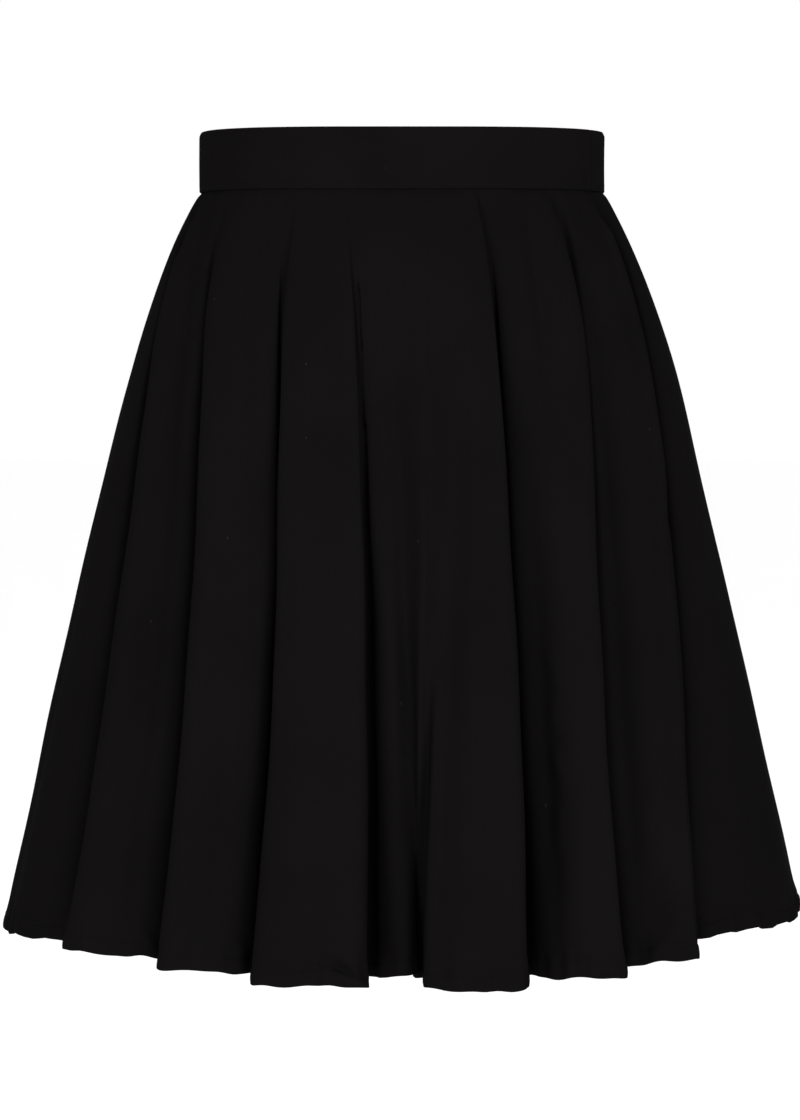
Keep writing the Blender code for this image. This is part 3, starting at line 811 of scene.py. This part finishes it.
def capsules(name, centres, along, outward, length, radius, dip, sides=STITCH_SIDES):
    """One mesh of many short round-ended threads. Their ends dip into the cloth."""
    stations = np.array((-0.5, -0.42, -0.2, 0.2, 0.42, 0.5)) * length
    radii = np.array((0.25, 0.75, 1, 1, 0.75, 0.25)) * radius
    dips = dip * (2 * stations / length) ** 2
    turns = 2 * math.pi * np.arange(sides) / sides
    across = np.cross(outward, along)
    spots = centres[:, None, :] + along[:, None, :] * stations[None, :, None]
    spots = spots - outward[:, None, :] * dips[None, :, None]
    sideways = across[:, None, :] * np.cos(turns)[None, :, None]
    ring = sideways + outward[:, None, :] * np.sin(turns)[None, :, None]
    points = spots[:, :, None, :] + ring[:, None, :, :] * radii[None, :, None, None]
    stretch = len(stations) * sides
    index = np.arange(stretch).reshape(len(stations), sides)
    after = np.roll(index, -1, 1)
    quads = np.stack([index[:-1], index[1:], after[1:], after[:-1]], axis=-1).reshape(-1, 4)
    offsets = stretch * np.arange(len(centres))
    sides_faces = (quads[None] + offsets[:, None, None]).reshape(-1, 4)
    caps = np.stack([index[0], index[-1, ::-1]])
    cap_faces = (caps[None] + offsets[:, None, None]).reshape(-1, sides)
    wrap = np.arange(sides) / sides
    spot = np.stack(np.broadcast_arrays(stations[:, None] / length, wrap[None, :]), axis=-1).reshape(-1, 2)
    corners = np.concatenate([sides_faces.ravel(), cap_faces.ravel()]) % stretch
    return patterned_object(name, points, sides_faces.tolist() + cap_faces.tolist(), spot[corners])


def spaced_along(points, outward, pitch):
    """Places at an even pitch along a line, with the line's direction and its outward normal at each."""
    steps = np.linalg.norm(np.diff(points, axis=0), axis=1)
    arcs = np.concatenate([[0], np.cumsum(steps)])
    count = int((arcs[-1] - pitch) / pitch)
    at = (np.arange(count) + 0.5) * arcs[-1] / count
    centres = np.column_stack([np.interp(at, arcs, points[:, k]) for k in range(3)])
    normals = np.column_stack([np.interp(at, arcs, outward[:, k]) for k in range(3)])
    ahead = np.column_stack([np.interp(at + pitch / 3, arcs, points[:, k]) for k in range(3)])
    behind = np.column_stack([np.interp(at - pitch / 3, arcs, points[:, k]) for k in range(3)])
    along = ahead - behind
    along /= np.linalg.norm(along, axis=1, keepdims=True)
    normals -= along * (normals * along).sum(axis=1, keepdims=True)
    return centres, along, normals / np.linalg.norm(normals, axis=1, keepdims=True)


def make_hem_stitching(name, start, end, settings):
    grid = finished_cloth(settings.crease_strength)
    columns = panel_columns(grid, start, end)
    above = SKIRT_DROP - grid.drops
    row = int(np.argmin(np.abs(above - HEM_DEPTH)))
    line = grid.points[row, columns]
    centres, along, outward = spaced_along(line, grid.outward[row, columns], settings.stitch_pitch)
    centres = centres + outward * STITCH_PROUD
    length = settings.stitch_pitch * STITCH_LENGTH / STITCH_PITCH
    return capsules(name, centres, along, outward, length, THREAD_RADIUS, STITCH_DIP)


def make_band_stitching(name, start, end, settings):
    angles, _, _ = band_angles(start, end)
    points, outward = hull(0, angles)
    heights = np.array((EDGE_STITCH_ABOVE_SEAM,))
    relief = band_relief(angles[:, None], heights[None, :])
    flat = points + outward * (BAND_PROUD + relief)
    level = EDGE_STITCH_ABOVE_SEAM - BAND_HEIGHT / 2 - front_dip(points, 0)
    line = np.column_stack([flat, level])
    normals = np.column_stack([outward, np.zeros(len(angles))])
    centres, along, facing = spaced_along(line, normals, settings.stitch_pitch)
    centres = centres + facing * STITCH_PROUD
    length = settings.stitch_pitch * STITCH_LENGTH / STITCH_PITCH
    return capsules(name, centres, along, facing, length, THREAD_RADIUS, STITCH_DIP)


def inside_of_back(drop, across, crease_strength):
    """How far back the cloth's inner face lies at the centre back, at this drop and these places across."""
    if drop < 0:
        points, _ = hull(0, np.radians(np.linspace(196, 164, 17)))
        return np.interp(across, points[:, 0], points[:, 1] + BAND_PROUD - BAND_WALL)
    grid = finished_cloth(crease_strength)
    inner = grid.points - grid.outward * cloth_thickness(grid.drops)[:, None, None]
    near = np.nonzero(np.abs(grid.places - CENTRE_BACK_SEAM) <= 1)[0][::-1]
    row = int(np.argmin(np.abs(grid.drops - drop)))
    return np.interp(across, inner[row, near, 0], inner[row, near, 1])


def zip_line(crease_strength):
    """Drops of the rows down the zip, from the band's top to the end in the skirt."""
    grid = finished_cloth(crease_strength)
    drops = [TAPE_TOP_INSET - BAND_HEIGHT, ZIP_MIDDLE_OF_BAND, -SEAM_GAP]
    drops += [drop for drop in grid.drops if COIL_END_CLEAR < drop <= ZIP_LENGTH_IN_SKIRT]
    return np.array(drops)


def make_zip_tape(name, crease_strength):
    """Both tapes, thin at their edges and beaded beside the coil."""
    half = TAPE_WIDTH / 2
    across = np.array((-1, -0.97, -0.7, -0.4, -0.26, -0.18, 0.18, 0.26, 0.4, 0.7, 0.97, 1)) * half
    bead = np.array((0.2, 0.6, 0.6, 0.6, 0.9, 0.6, 0.6, 0.9, 0.6, 0.6, 0.6, 0.2)) * TAPE_THICKNESS
    rings = []
    for drop in zip_line(crease_strength):
        back = inside_of_back(drop, across, crease_strength) - TAPE_CLEARANCE
        level = np.full(len(across), -BAND_HEIGHT / 2 - drop)
        outer = np.column_stack([across, back, level])
        inner = np.column_stack([across, back - bead, level])
        rings.append(np.concatenate([outer, inner[::-1]]))
    rings = np.array(rings)
    pattern = rings[..., [0, 2]]
    return tube_mesh(name, rings, pattern)


def make_zip_coil(name, crease_strength):
    """The closed coil: loops from both tapes in turn, down the middle of the zip."""
    drops = zip_line(crease_strength)
    backs = np.array([inside_of_back(drop, np.zeros(1), crease_strength)[0] for drop in drops])
    count = int((drops[-1] - drops[0] - 2 * COIL_END_CLEAR) / COIL_PITCH)
    at = drops[0] + COIL_END_CLEAR + COIL_PITCH * np.arange(count)
    side = np.where(np.arange(count) % 2 == 0, 1.0, -1.0)
    centres = np.column_stack([
        side * 0.3 * COIL_HALF_WIDTH,
        np.interp(at, drops, backs) - TAPE_CLEARANCE - TAPE_THICKNESS - COIL_RADIUS,
        -BAND_HEIGHT / 2 - at,
    ])
    along = np.tile((1.0, 0.0, 0.0), (count, 1))
    outward = np.tile((0.0, -1.0, 0.0), (count, 1))
    length = 1.5 * COIL_HALF_WIDTH
    return capsules(name, centres, along, outward, length, COIL_RADIUS, 0.5 * COIL_RADIUS, sides=8)


def wire(tree, socket, value):
    """Links a socket to another node's output, or sets it to a plain value."""
    if isinstance(value, bpy.types.NodeSocket):
        tree.links.new(value, socket)
    else:
        socket.default_value = value


def maths(tree, operation, *values):
    node = tree.nodes.new("ShaderNodeMath")
    node.operation = operation
    for socket, value in zip(node.inputs, values):
        wire(tree, socket, value)
    return node.outputs[0]


def spread(tree, value, low, high):
    """A value from 0 to 1 spread between low and high."""
    node = tree.nodes.new("ShaderNodeMapRange")
    wire(tree, node.inputs["Value"], value)
    node.inputs["To Min"].default_value = low
    node.inputs["To Max"].default_value = high
    return node.outputs["Result"]


def noise(tree, vector, scale, detail):
    node = tree.nodes.new("ShaderNodeTexNoise")
    wire(tree, node.inputs["Vector"], vector)
    node.inputs["Scale"].default_value = scale
    node.inputs["Detail"].default_value = detail
    return node.outputs["Fac"]


def stretched(tree, vector, scale):
    node = tree.nodes.new("ShaderNodeVectorMath")
    node.operation = "MULTIPLY"
    wire(tree, node.inputs[0], vector)
    node.inputs[1].default_value = scale
    return node.outputs["Vector"]


def new_group(name, inputs, outputs):
    """An empty node group with these named sockets, each a name, a type and, for an input, its default."""
    tree = bpy.data.node_groups.new(name, "ShaderNodeTree")
    for label, kind, default in inputs:
        socket = tree.interface.new_socket(name=label, in_out="INPUT", socket_type=kind)
        socket.default_value = default
    for label, kind in outputs:
        tree.interface.new_socket(name=label, in_out="OUTPUT", socket_type=kind)
    return tree, tree.nodes.new("NodeGroupInput").outputs, tree.nodes.new("NodeGroupOutput").inputs


@lru_cache
def twill_weave():
    """Diagonal ribs broken into the weave's single floats, on a flat pattern in metres."""
    tree, given, made = new_group(
        "Twill weave",
        (
            ("Pattern", "NodeSocketVector", (0, 0, 0)),
            ("Pitch", "NodeSocketFloat", 0.0007),
            ("Unevenness", "NodeSocketFloat", 0.3),
        ),
        (("Height", "NodeSocketFloat"), ("Rib shade", "NodeSocketFloat")),
    )
    split = tree.nodes.new("ShaderNodeSeparateXYZ")
    tree.links.new(given["Pattern"], split.inputs[0])
    x, y = split.outputs[0], split.outputs[1]
    wobble = maths(tree, "SUBTRACT", noise(tree, given["Pattern"], 420, 2), 0.5)
    wobble = maths(tree, "MULTIPLY", wobble, given["Unevenness"])
    diagonal = maths(tree, "DIVIDE", maths(tree, "ADD", x, maths(tree, "MULTIPLY", y, 1.35)), given["Pitch"])
    turns = maths(tree, "MULTIPLY", maths(tree, "ADD", diagonal, wobble), 2 * math.pi)
    rib = maths(tree, "MULTIPLY_ADD", maths(tree, "SINE", turns), 0.5, 0.5)
    steps = maths(tree, "DIVIDE", maths(tree, "SUBTRACT", x, y), given["Pitch"])
    across = maths(tree, "MULTIPLY", steps, 11.0)
    float_end = maths(tree, "MULTIPLY_ADD", maths(tree, "SINE", across), 0.14, 0.86)
    tree.links.new(maths(tree, "MULTIPLY", rib, float_end), made["Height"])
    # The ribs' pattern also goes out to darken the twill's colour in the grooves between ribs: painted shade
    # of the weave.
    tree.links.new(rib, made["Rib shade"])
    return tree


@lru_cache
def cloth_unevenness():
    """Slow patches where the cloth is lighter, fine slubs along the yarn, and a few specks of lint."""
    tree, given, made = new_group(
        "Cloth unevenness",
        (("Place", "NodeSocketVector", (0, 0, 0)), ("Pattern", "NodeSocketVector", (0, 0, 0))),
        (("Patch", "NodeSocketFloat"), ("Slub", "NodeSocketFloat"), ("Lint", "NodeSocketFloat")),
    )
    tree.links.new(noise(tree, given["Place"], 13, 3), made["Patch"])
    tree.links.new(noise(tree, stretched(tree, given["Pattern"], (900, 160, 1)), 1, 2), made["Slub"])
    cells = tree.nodes.new("ShaderNodeTexVoronoi")
    cells.inputs["Scale"].default_value = 105
    tree.links.new(stretched(tree, given["Place"], (1, 1, 0.45)), cells.inputs["Vector"])
    near = maths(tree, "LESS_THAN", cells.outputs["Distance"], 0.045)
    split = tree.nodes.new("ShaderNodeSeparateColor")
    tree.links.new(cells.outputs["Color"], split.inputs[0])
    chosen = maths(tree, "GREATER_THAN", split.outputs[0], 0.93)
    tree.links.new(maths(tree, "MULTIPLY", near, chosen), made["Lint"])
    return tree


def place_group(tree, group, values):
    node = tree.nodes.new("ShaderNodeGroup")
    node.node_tree = group
    for label, value in values.items():
        wire(tree, node.inputs[label], value)
    return node.outputs


def new_material(name, constants):
    """A material with its Principled shader's constants set, and its tree and shader."""
    material = bpy.data.materials.new(name)
    material.use_nodes = True
    shader = material.node_tree.nodes["Principled BSDF"]
    for label, value in constants.items():
        shader.inputs[label].default_value = value
    return material, material.node_tree, shader


def pattern_and_place(tree):
    """The piece's flat pattern and its place in space."""
    flat = tree.nodes.new("ShaderNodeUVMap")
    flat.uv_map = "pattern"
    place = tree.nodes.new("ShaderNodeTexCoord")
    return flat.outputs["UV"], place.outputs["Object"]


def tinted(tree, colour, *factors):
    """A colour made lighter or darker by each factor in turn."""
    shade = factors[0]
    for factor in factors[1:]:
        shade = maths(tree, "MULTIPLY", shade, factor)
    node = tree.nodes.new("ShaderNodeVectorMath")
    node.operation = "SCALE"
    node.inputs[0].default_value = colour
    wire(tree, node.inputs["Scale"], shade)
    return node.outputs["Vector"]


def bumped(tree, shader, height, strength, distance):
    node = tree.nodes.new("ShaderNodeBump")
    node.inputs["Strength"].default_value = strength
    node.inputs["Distance"].default_value = distance
    wire(tree, node.inputs["Height"], height)
    tree.links.new(node.outputs["Normal"], shader.inputs["Normal"])


def twill_material(name, colour, pitch, relief):
    constants = {"Specular IOR Level": 0.001}
    material, tree, shader = new_material(name, constants)
    flat, place = pattern_and_place(tree)
    weave = place_group(tree, twill_weave(), {"Pattern": flat, "Pitch": pitch, "Unevenness": 0.35})
    uneven = place_group(tree, cloth_unevenness(), {"Place": place, "Pattern": flat})
    # Painted shade and light of the weave: the rib pattern makes the base colour darker in the grooves
    # between the ribs and lighter on their tops, beside the ribs' real bump.
    rib_shade = spread(tree, weave["Rib shade"], 0.82, 1.14)
    patchy = spread(tree, uneven["Patch"], 0.80, 1.20)
    slubby = spread(tree, uneven["Slub"], 0.90, 1.10)
    linted = maths(tree, "MULTIPLY_ADD", uneven["Lint"], 2.2, 1.0)
    tree.links.new(tinted(tree, colour, rib_shade, patchy, slubby, linted), shader.inputs["Base Color"])
    tree.links.new(spread(tree, uneven["Patch"], 0.72, 0.88), shader.inputs["Roughness"])
    height = maths(tree, "ADD", weave["Height"], maths(tree, "MULTIPLY", uneven["Slub"], 0.5))
    bumped(tree, shader, height, 0.55, relief)
    return material


def thread_material(name, colour):
    """Two-ply sewing thread, with its twist round each stitch: bumped, and painted darker in the twist's
    grooves as shade.
    """
    material, tree, shader = new_material(name, {"Specular IOR Level": 0.004})
    flat, place = pattern_and_place(tree)
    split = tree.nodes.new("ShaderNodeSeparateXYZ")
    tree.links.new(flat, split.inputs[0])
    turns = maths(tree, "MULTIPLY_ADD", split.outputs[0], 5.0, split.outputs[1])
    wave = maths(tree, "SINE", maths(tree, "MULTIPLY", turns, 2 * math.pi))
    twist = maths(tree, "MULTIPLY_ADD", wave, 0.5, 0.5)
    worn = spread(tree, noise(tree, place, 90, 1), 0.8, 1.2)
    # Painted shade and light of the ply: the colour is darker in the twist's grooves and lighter on its
    # strands. The worn noise is the thread's own uneven tone.
    shade = tinted(tree, colour, spread(tree, twist, 0.7, 1.25), worn)
    tree.links.new(shade, shader.inputs["Base Color"])
    tree.links.new(spread(tree, twist, 0.62, 0.5), shader.inputs["Roughness"])
    bumped(tree, shader, twist, 0.5, 0.00005)
    return material


def nylon_material(name, colour):
    material, tree, shader = new_material(name, {"Specular IOR Level": 0.5})
    _, place = pattern_and_place(tree)
    cloudy = noise(tree, place, 700, 3)
    tree.links.new(tinted(tree, colour, spread(tree, cloudy, 0.75, 1.25)), shader.inputs["Base Color"])
    tree.links.new(spread(tree, cloudy, 0.34, 0.48), shader.inputs["Roughness"])
    bumped(tree, shader, cloudy, 0.3, 0.00004)
    return material


def lacquer_material(name, colour):
    """Black lacquer on die-cast metal: faintly pitted, with fine scratches that run down it."""
    material, tree, shader = new_material(name, {"Metallic": 0.6, "Coat Roughness": 0.2})
    _, place = pattern_and_place(tree)
    pits = noise(tree, place, 1600, 3)
    scratch = noise(tree, stretched(tree, place, (5200, 5200, 260)), 1, 2)
    scratched = maths(tree, "GREATER_THAN", scratch, 0.66)
    worn = maths(tree, "MULTIPLY", scratched, spread(tree, noise(tree, place, 330, 2), 0, 1.6))
    lighter = maths(tree, "MULTIPLY_ADD", worn, 1.8, 1.0)
    tree.links.new(tinted(tree, colour, spread(tree, pits, 0.8, 1.2), lighter), shader.inputs["Base Color"])
    rough = maths(tree, "MULTIPLY_ADD", worn, 0.15, spread(tree, pits, 0.26, 0.42))
    tree.links.new(rough, shader.inputs["Roughness"])
    tree.links.new(spread(tree, pits, 0.5, 0.3), shader.inputs["Coat Weight"])
    bumped(tree, shader, maths(tree, "SUBTRACT", pits, worn), 0.25, 0.00004)
    return material


def floor_material(name, colour):
    material, tree, shader = new_material(name, {"Roughness": 0.9, "Specular IOR Level": 0.1})
    _, place = pattern_and_place(tree)
    faint = spread(tree, noise(tree, place, 3, 2), 0.99, 1.01)
    tree.links.new(tinted(tree, colour, faint), shader.inputs["Base Color"])
    return material


PANELS = (
    ("skirt_front", RIGHT_SIDE_SEAM, LEFT_SIDE_SEAM),
    ("skirt_back_left", LEFT_SIDE_SEAM, CENTRE_BACK_SEAM),
    ("skirt_back_right", CENTRE_BACK_SEAM, RIGHT_SIDE_SEAM + PLACES),
)
BANDS = (
    ("waistband_front", CRESTS[1].left_waist, CRESTS[7].right_waist),
    ("waistband_back_left", CRESTS[7].right_waist, 180),
    ("waistband_back_right", 180, CRESTS[1].left_waist + 360),
)


class ClothSettings(bpy.types.PropertyGroup):
    """The cloth's colour and weave, and how strong its creases are."""

    colour: bpy.props.FloatVectorProperty(
        name="Cloth colour",
        description="Colour of the black twill",
        subtype="COLOR",
        size=3,
        default=(0.0028, 0.0025, 0.0025),
        min=0,
        max=1,
    )
    twill_pitch: bpy.props.FloatProperty(
        name="Twill pitch",
        description="Distance from one diagonal rib of the twill to the next",
        unit="LENGTH",
        default=0.0007,
        min=0.0002,
        max=0.003,
        precision=4,
    )
    weave_relief: bpy.props.FloatProperty(
        name="Weave relief",
        description="How far the ribs of the twill stand up",
        unit="LENGTH",
        default=0.00007,
        min=0,
        max=0.0005,
        precision=5,
    )
    crease_strength: bpy.props.FloatProperty(
        name="Crease strength",
        description="How deep the soft creases are beside those of the photographed cloth",
        subtype="FACTOR",
        default=1.0,
        min=0,
        max=1.5,
    )
    stitch_pitch: bpy.props.FloatProperty(
        name="Stitch pitch",
        description="Distance from one stitch to the next",
        unit="LENGTH",
        default=STITCH_PITCH,
        min=0.001,
        max=0.006,
        precision=4,
    )
    thread_colour: bpy.props.FloatVectorProperty(
        name="Thread colour",
        description="Colour of the sewing thread",
        subtype="COLOR",
        size=3,
        default=(0.0041, 0.0037, 0.0038),
        min=0,
        max=1,
    )


class ZipSettings(bpy.types.PropertyGroup):
    """The zip's colours."""

    tape_colour: bpy.props.FloatVectorProperty(
        name="Tape colour",
        description="Colour of the woven zip tape",
        subtype="COLOR",
        size=3,
        default=(0.0032, 0.003, 0.0031),
        min=0,
        max=1,
    )
    coil_colour: bpy.props.FloatVectorProperty(
        name="Coil colour",
        description="Colour of the zip's nylon coil",
        subtype="COLOR",
        size=3,
        default=(0.0045, 0.0043, 0.0045),
        min=0,
        max=1,
    )
    metal_colour: bpy.props.FloatVectorProperty(
        name="Metal colour",
        description="Colour of the lacquered slider and its pull tab",
        subtype="COLOR",
        size=3,
        default=(0.011, 0.011, 0.0115),
        min=0,
        max=1,
    )


class StageSettings(bpy.types.PropertyGroup):
    """The camera, the lights and the floor."""

    camera_distance: bpy.props.FloatProperty(
        name="Camera distance",
        description="Distance from the camera to the middle of the skirt",
        unit="LENGTH",
        default=2.3,
        min=0.5,
        max=10,
    )
    eye_height: bpy.props.FloatProperty(
        name="Eye height",
        description="Height of the camera over the middle of the waistband",
        unit="LENGTH",
        default=-0.1436,
        min=-2,
        max=2,
    )
    lens: bpy.props.FloatProperty(
        name="Lens",
        description="Focal length for a sensor 36 mm along the picture's long side",
        unit="CAMERA",
        default=116.2,
        min=20,
        max=300,
    )
    tilt: bpy.props.FloatProperty(
        name="Tilt",
        description="How far the camera looks down",
        subtype="ANGLE",
        unit="ROTATION",
        default=math.radians(2.69),
        min=-1,
        max=1,
    )
    floor_below_hem: bpy.props.FloatProperty(
        name="Floor below hem",
        description="How far the floor lies below the skirt, as when it is worn",
        unit="LENGTH",
        default=0.48,
        min=0,
        max=3,
    )
    floor_colour: bpy.props.FloatVectorProperty(
        name="Floor colour",
        description="Colour of the pale floor",
        subtype="COLOR",
        size=3,
        default=(0.99, 0.99, 0.99),
        min=0,
        max=1,
    )
    daylight: bpy.props.FloatProperty(
        name="Daylight",
        description="Strength of the white surroundings",
        default=1.0,
        min=0,
        max=5,
    )
    side_light: bpy.props.FloatProperty(
        name="Side lights",
        description="Power of each of the soft lights beside the camera",
        unit="POWER",
        default=85,
        min=0,
        max=1000,
    )


class SKIRT_OT_panels(bpy.types.Operator):
    """Builds the front and both back panels of the skirt in twill."""

    bl_idname = "skirt.panels"
    bl_label = "Skirt panels"

    def execute(self, context):
        settings = context.scene.skirt_cloth
        twill = twill_material("black_twill", settings.colour, settings.twill_pitch, settings.weave_relief)
        grid = finished_cloth(settings.crease_strength)
        for node, start, end in PANELS:
            panel = make_panel(f"{node}_cloth", start, end, settings.crease_strength)
            panel.data.materials.append(twill)
            _, arcs = panel_pattern(grid, panel_columns(grid, start, end))
            area = cut_area(grid, panel_columns(grid, start, end))
            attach(panel, BODY)
            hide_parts(node)
        return {"FINISHED"}


class SKIRT_OT_waistband(bpy.types.Operator):
    """Builds the front and both back halves of the waistband."""

    bl_idname = "skirt.waistband"
    bl_label = "Waistband"

    def execute(self, context):
        settings = context.scene.skirt_cloth
        look = (settings.colour, settings.twill_pitch, settings.weave_relief)
        twill = twill_material("black_band_twill", *look)
        for node, start, end in BANDS:
            band = make_band(f"{node}_cloth", start, end)
            band.data.materials.append(twill)
            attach(band, BODY)
            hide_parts(node)
        return {"FINISHED"}


class SKIRT_OT_stitching(bpy.types.Operator):
    """Sews the hem and the waistband's lower edge."""

    bl_idname = "skirt.stitching"
    bl_label = "Stitching"

    def execute(self, context):
        settings = context.scene.skirt_cloth
        thread = thread_material("black_thread", settings.thread_colour)
        sewn = []
        for node, start, end in PANELS:
            sewn.append(make_hem_stitching(f"{node}_hem_stitches", start, end, settings))
        for node, start, end in BANDS:
            sewn.append(make_band_stitching(f"{node}_edge_stitches", start, end, settings))
        for stitches in sewn:
            stitches.data.materials.append(thread)
            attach(stitches, BODY)
        return {"FINISHED"}


class SKIRT_OT_zip(bpy.types.Operator):
    """Builds the zip's tape and coil, and finishes its slider and pull tab."""

    bl_idname = "skirt.zip"
    bl_label = "Back zip"

    def execute(self, context):
        creases = context.scene.skirt_cloth.crease_strength
        settings = context.scene.skirt_zip
        tape = make_zip_tape("zip_tape_cloth", creases)
        tape.data.materials.append(twill_material("black_zip_tape", settings.tape_colour, 0.0005, 0.00005))
        coil = make_zip_coil("zip_coil", creases)
        coil.data.materials.append(nylon_material("black_nylon", settings.coil_colour))
        for piece in (tape, coil):
            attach(piece, BODY)
            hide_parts("zip_tape")
        lacquer = lacquer_material("black_lacquer", settings.metal_colour)
        for node in ("zip_slider", "zip_pull"):
            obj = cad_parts[node]
            for slot in obj.material_slots:
                slot.material = lacquer
        return {"FINISHED"}


class SKIRT_OT_stage(bpy.types.Operator):
    """Sets out the camera, the soft lights and the pale floor."""

    bl_idname = "skirt.stage"
    bl_label = "Stage"

    def execute(self, context):
        settings = context.scene.skirt_stage
        context.scene.view_settings.view_transform = "Standard"
        add_camera(settings)
        add_daylight(settings.daylight)
        for side in (-1, 1):
            add_soft_light(side, settings.side_light)
        add_floor(settings)
        return {"FINISHED"}


CAMERA_SIDE = -0.0013
SENSOR_WIDTH = 36
FLOOR_RADIUS = 40
FLOOR_SIDES = 96
LIGHT_PLACE = (1.7, -2.35, 0.5)
LIGHT_SIZE = (1.3, 2.0)
LIGHT_AIM = (0, 0, -0.25)


def add_camera(settings):
    data = bpy.data.cameras.new("photo_camera")
    data.lens = settings.lens
    data.sensor_width = SENSOR_WIDTH
    camera = bpy.data.objects.new("photo_camera", data)
    camera.location = (CAMERA_SIDE, -settings.camera_distance, settings.eye_height)
    camera.rotation_euler = (math.pi / 2 - settings.tilt, 0, 0)
    bpy.context.scene.collection.objects.link(camera)
    bpy.context.scene.camera = camera


def add_daylight(strength):
    world = bpy.data.worlds.new("white_surroundings")
    world.use_nodes = True
    background = world.node_tree.nodes["Background"]
    background.inputs["Color"].default_value = (1, 1, 1, 1)
    background.inputs["Strength"].default_value = strength
    bpy.context.scene.world = world


def add_soft_light(side, power):
    data = bpy.data.lights.new("soft_light", "AREA")
    data.shape = "RECTANGLE"
    data.size, data.size_y = LIGHT_SIZE
    data.energy = power
    light = bpy.data.objects.new("soft_light_left" if side < 0 else "soft_light_right", data)
    place = np.array(LIGHT_PLACE) * (side, 1, 1)
    light.location = place
    away = Vector((place - np.array(LIGHT_AIM)).tolist())
    light.rotation_euler = away.to_track_quat("Z", "Y").to_euler()
    light.visible_camera = False
    bpy.context.scene.collection.objects.link(light)


def add_floor(settings):
    level = float(CAD_BOX[0][2]) - settings.floor_below_hem
    turns = 2 * math.pi * np.arange(FLOOR_SIDES) / FLOOR_SIDES
    circle = FLOOR_RADIUS * np.column_stack([np.cos(turns), np.sin(turns)])
    rim = np.column_stack([circle, np.full(FLOOR_SIDES, level)])
    mesh = bpy.data.meshes.new("floor")
    mesh.from_pydata(rim.tolist(), [], [list(range(FLOOR_SIDES))])
    floor = add_object("floor", mesh)
    mesh.materials.append(floor_material("pale_floor", settings.floor_colour))


class SKIRT_PT_sidebar(bpy.types.Panel):
    """Lists what the script builds, with its sizes and colours."""

    bl_idname = "SKIRT_PT_sidebar"
    bl_label = "Circle Skirt"
    bl_space_type = "VIEW_3D"
    bl_region_type = "UI"
    bl_category = "Circle Skirt"

    def draw(self, context):
        scene = context.scene
        for operator in OPERATORS:
            self.layout.operator(operator.bl_idname)
        for settings in (scene.skirt_cloth, scene.skirt_zip, scene.skirt_stage):
            box = self.layout.box()
            for name in settings.__annotations__:
                box.prop(settings, name)


OPERATORS = (SKIRT_OT_waistband, SKIRT_OT_panels, SKIRT_OT_stitching, SKIRT_OT_zip, SKIRT_OT_stage)
SETTINGS = (("skirt_cloth", ClothSettings), ("skirt_zip", ZipSettings), ("skirt_stage", StageSettings))


def register():
    for _, group in SETTINGS:
        bpy.utils.register_class(group)
    for operator in OPERATORS:
        bpy.utils.register_class(operator)
    bpy.utils.register_class(SKIRT_PT_sidebar)
    for name, group in SETTINGS:
        setattr(bpy.types.Scene, name, bpy.props.PointerProperty(type=group))


def unregister():
    for name, _ in SETTINGS:
        delattr(bpy.types.Scene, name)
    bpy.utils.unregister_class(SKIRT_PT_sidebar)
    for operator in reversed(OPERATORS):
        bpy.utils.unregister_class(operator)
    for _, group in reversed(SETTINGS):
        bpy.utils.unregister_class(group)


def main():
    register()
    bpy.ops.skirt.waistband()
    bpy.ops.skirt.panels()
    bpy.ops.skirt.stitching()
    bpy.ops.skirt.zip()
    bpy.ops.skirt.stage()


if __name__ == "__main__":
    main()
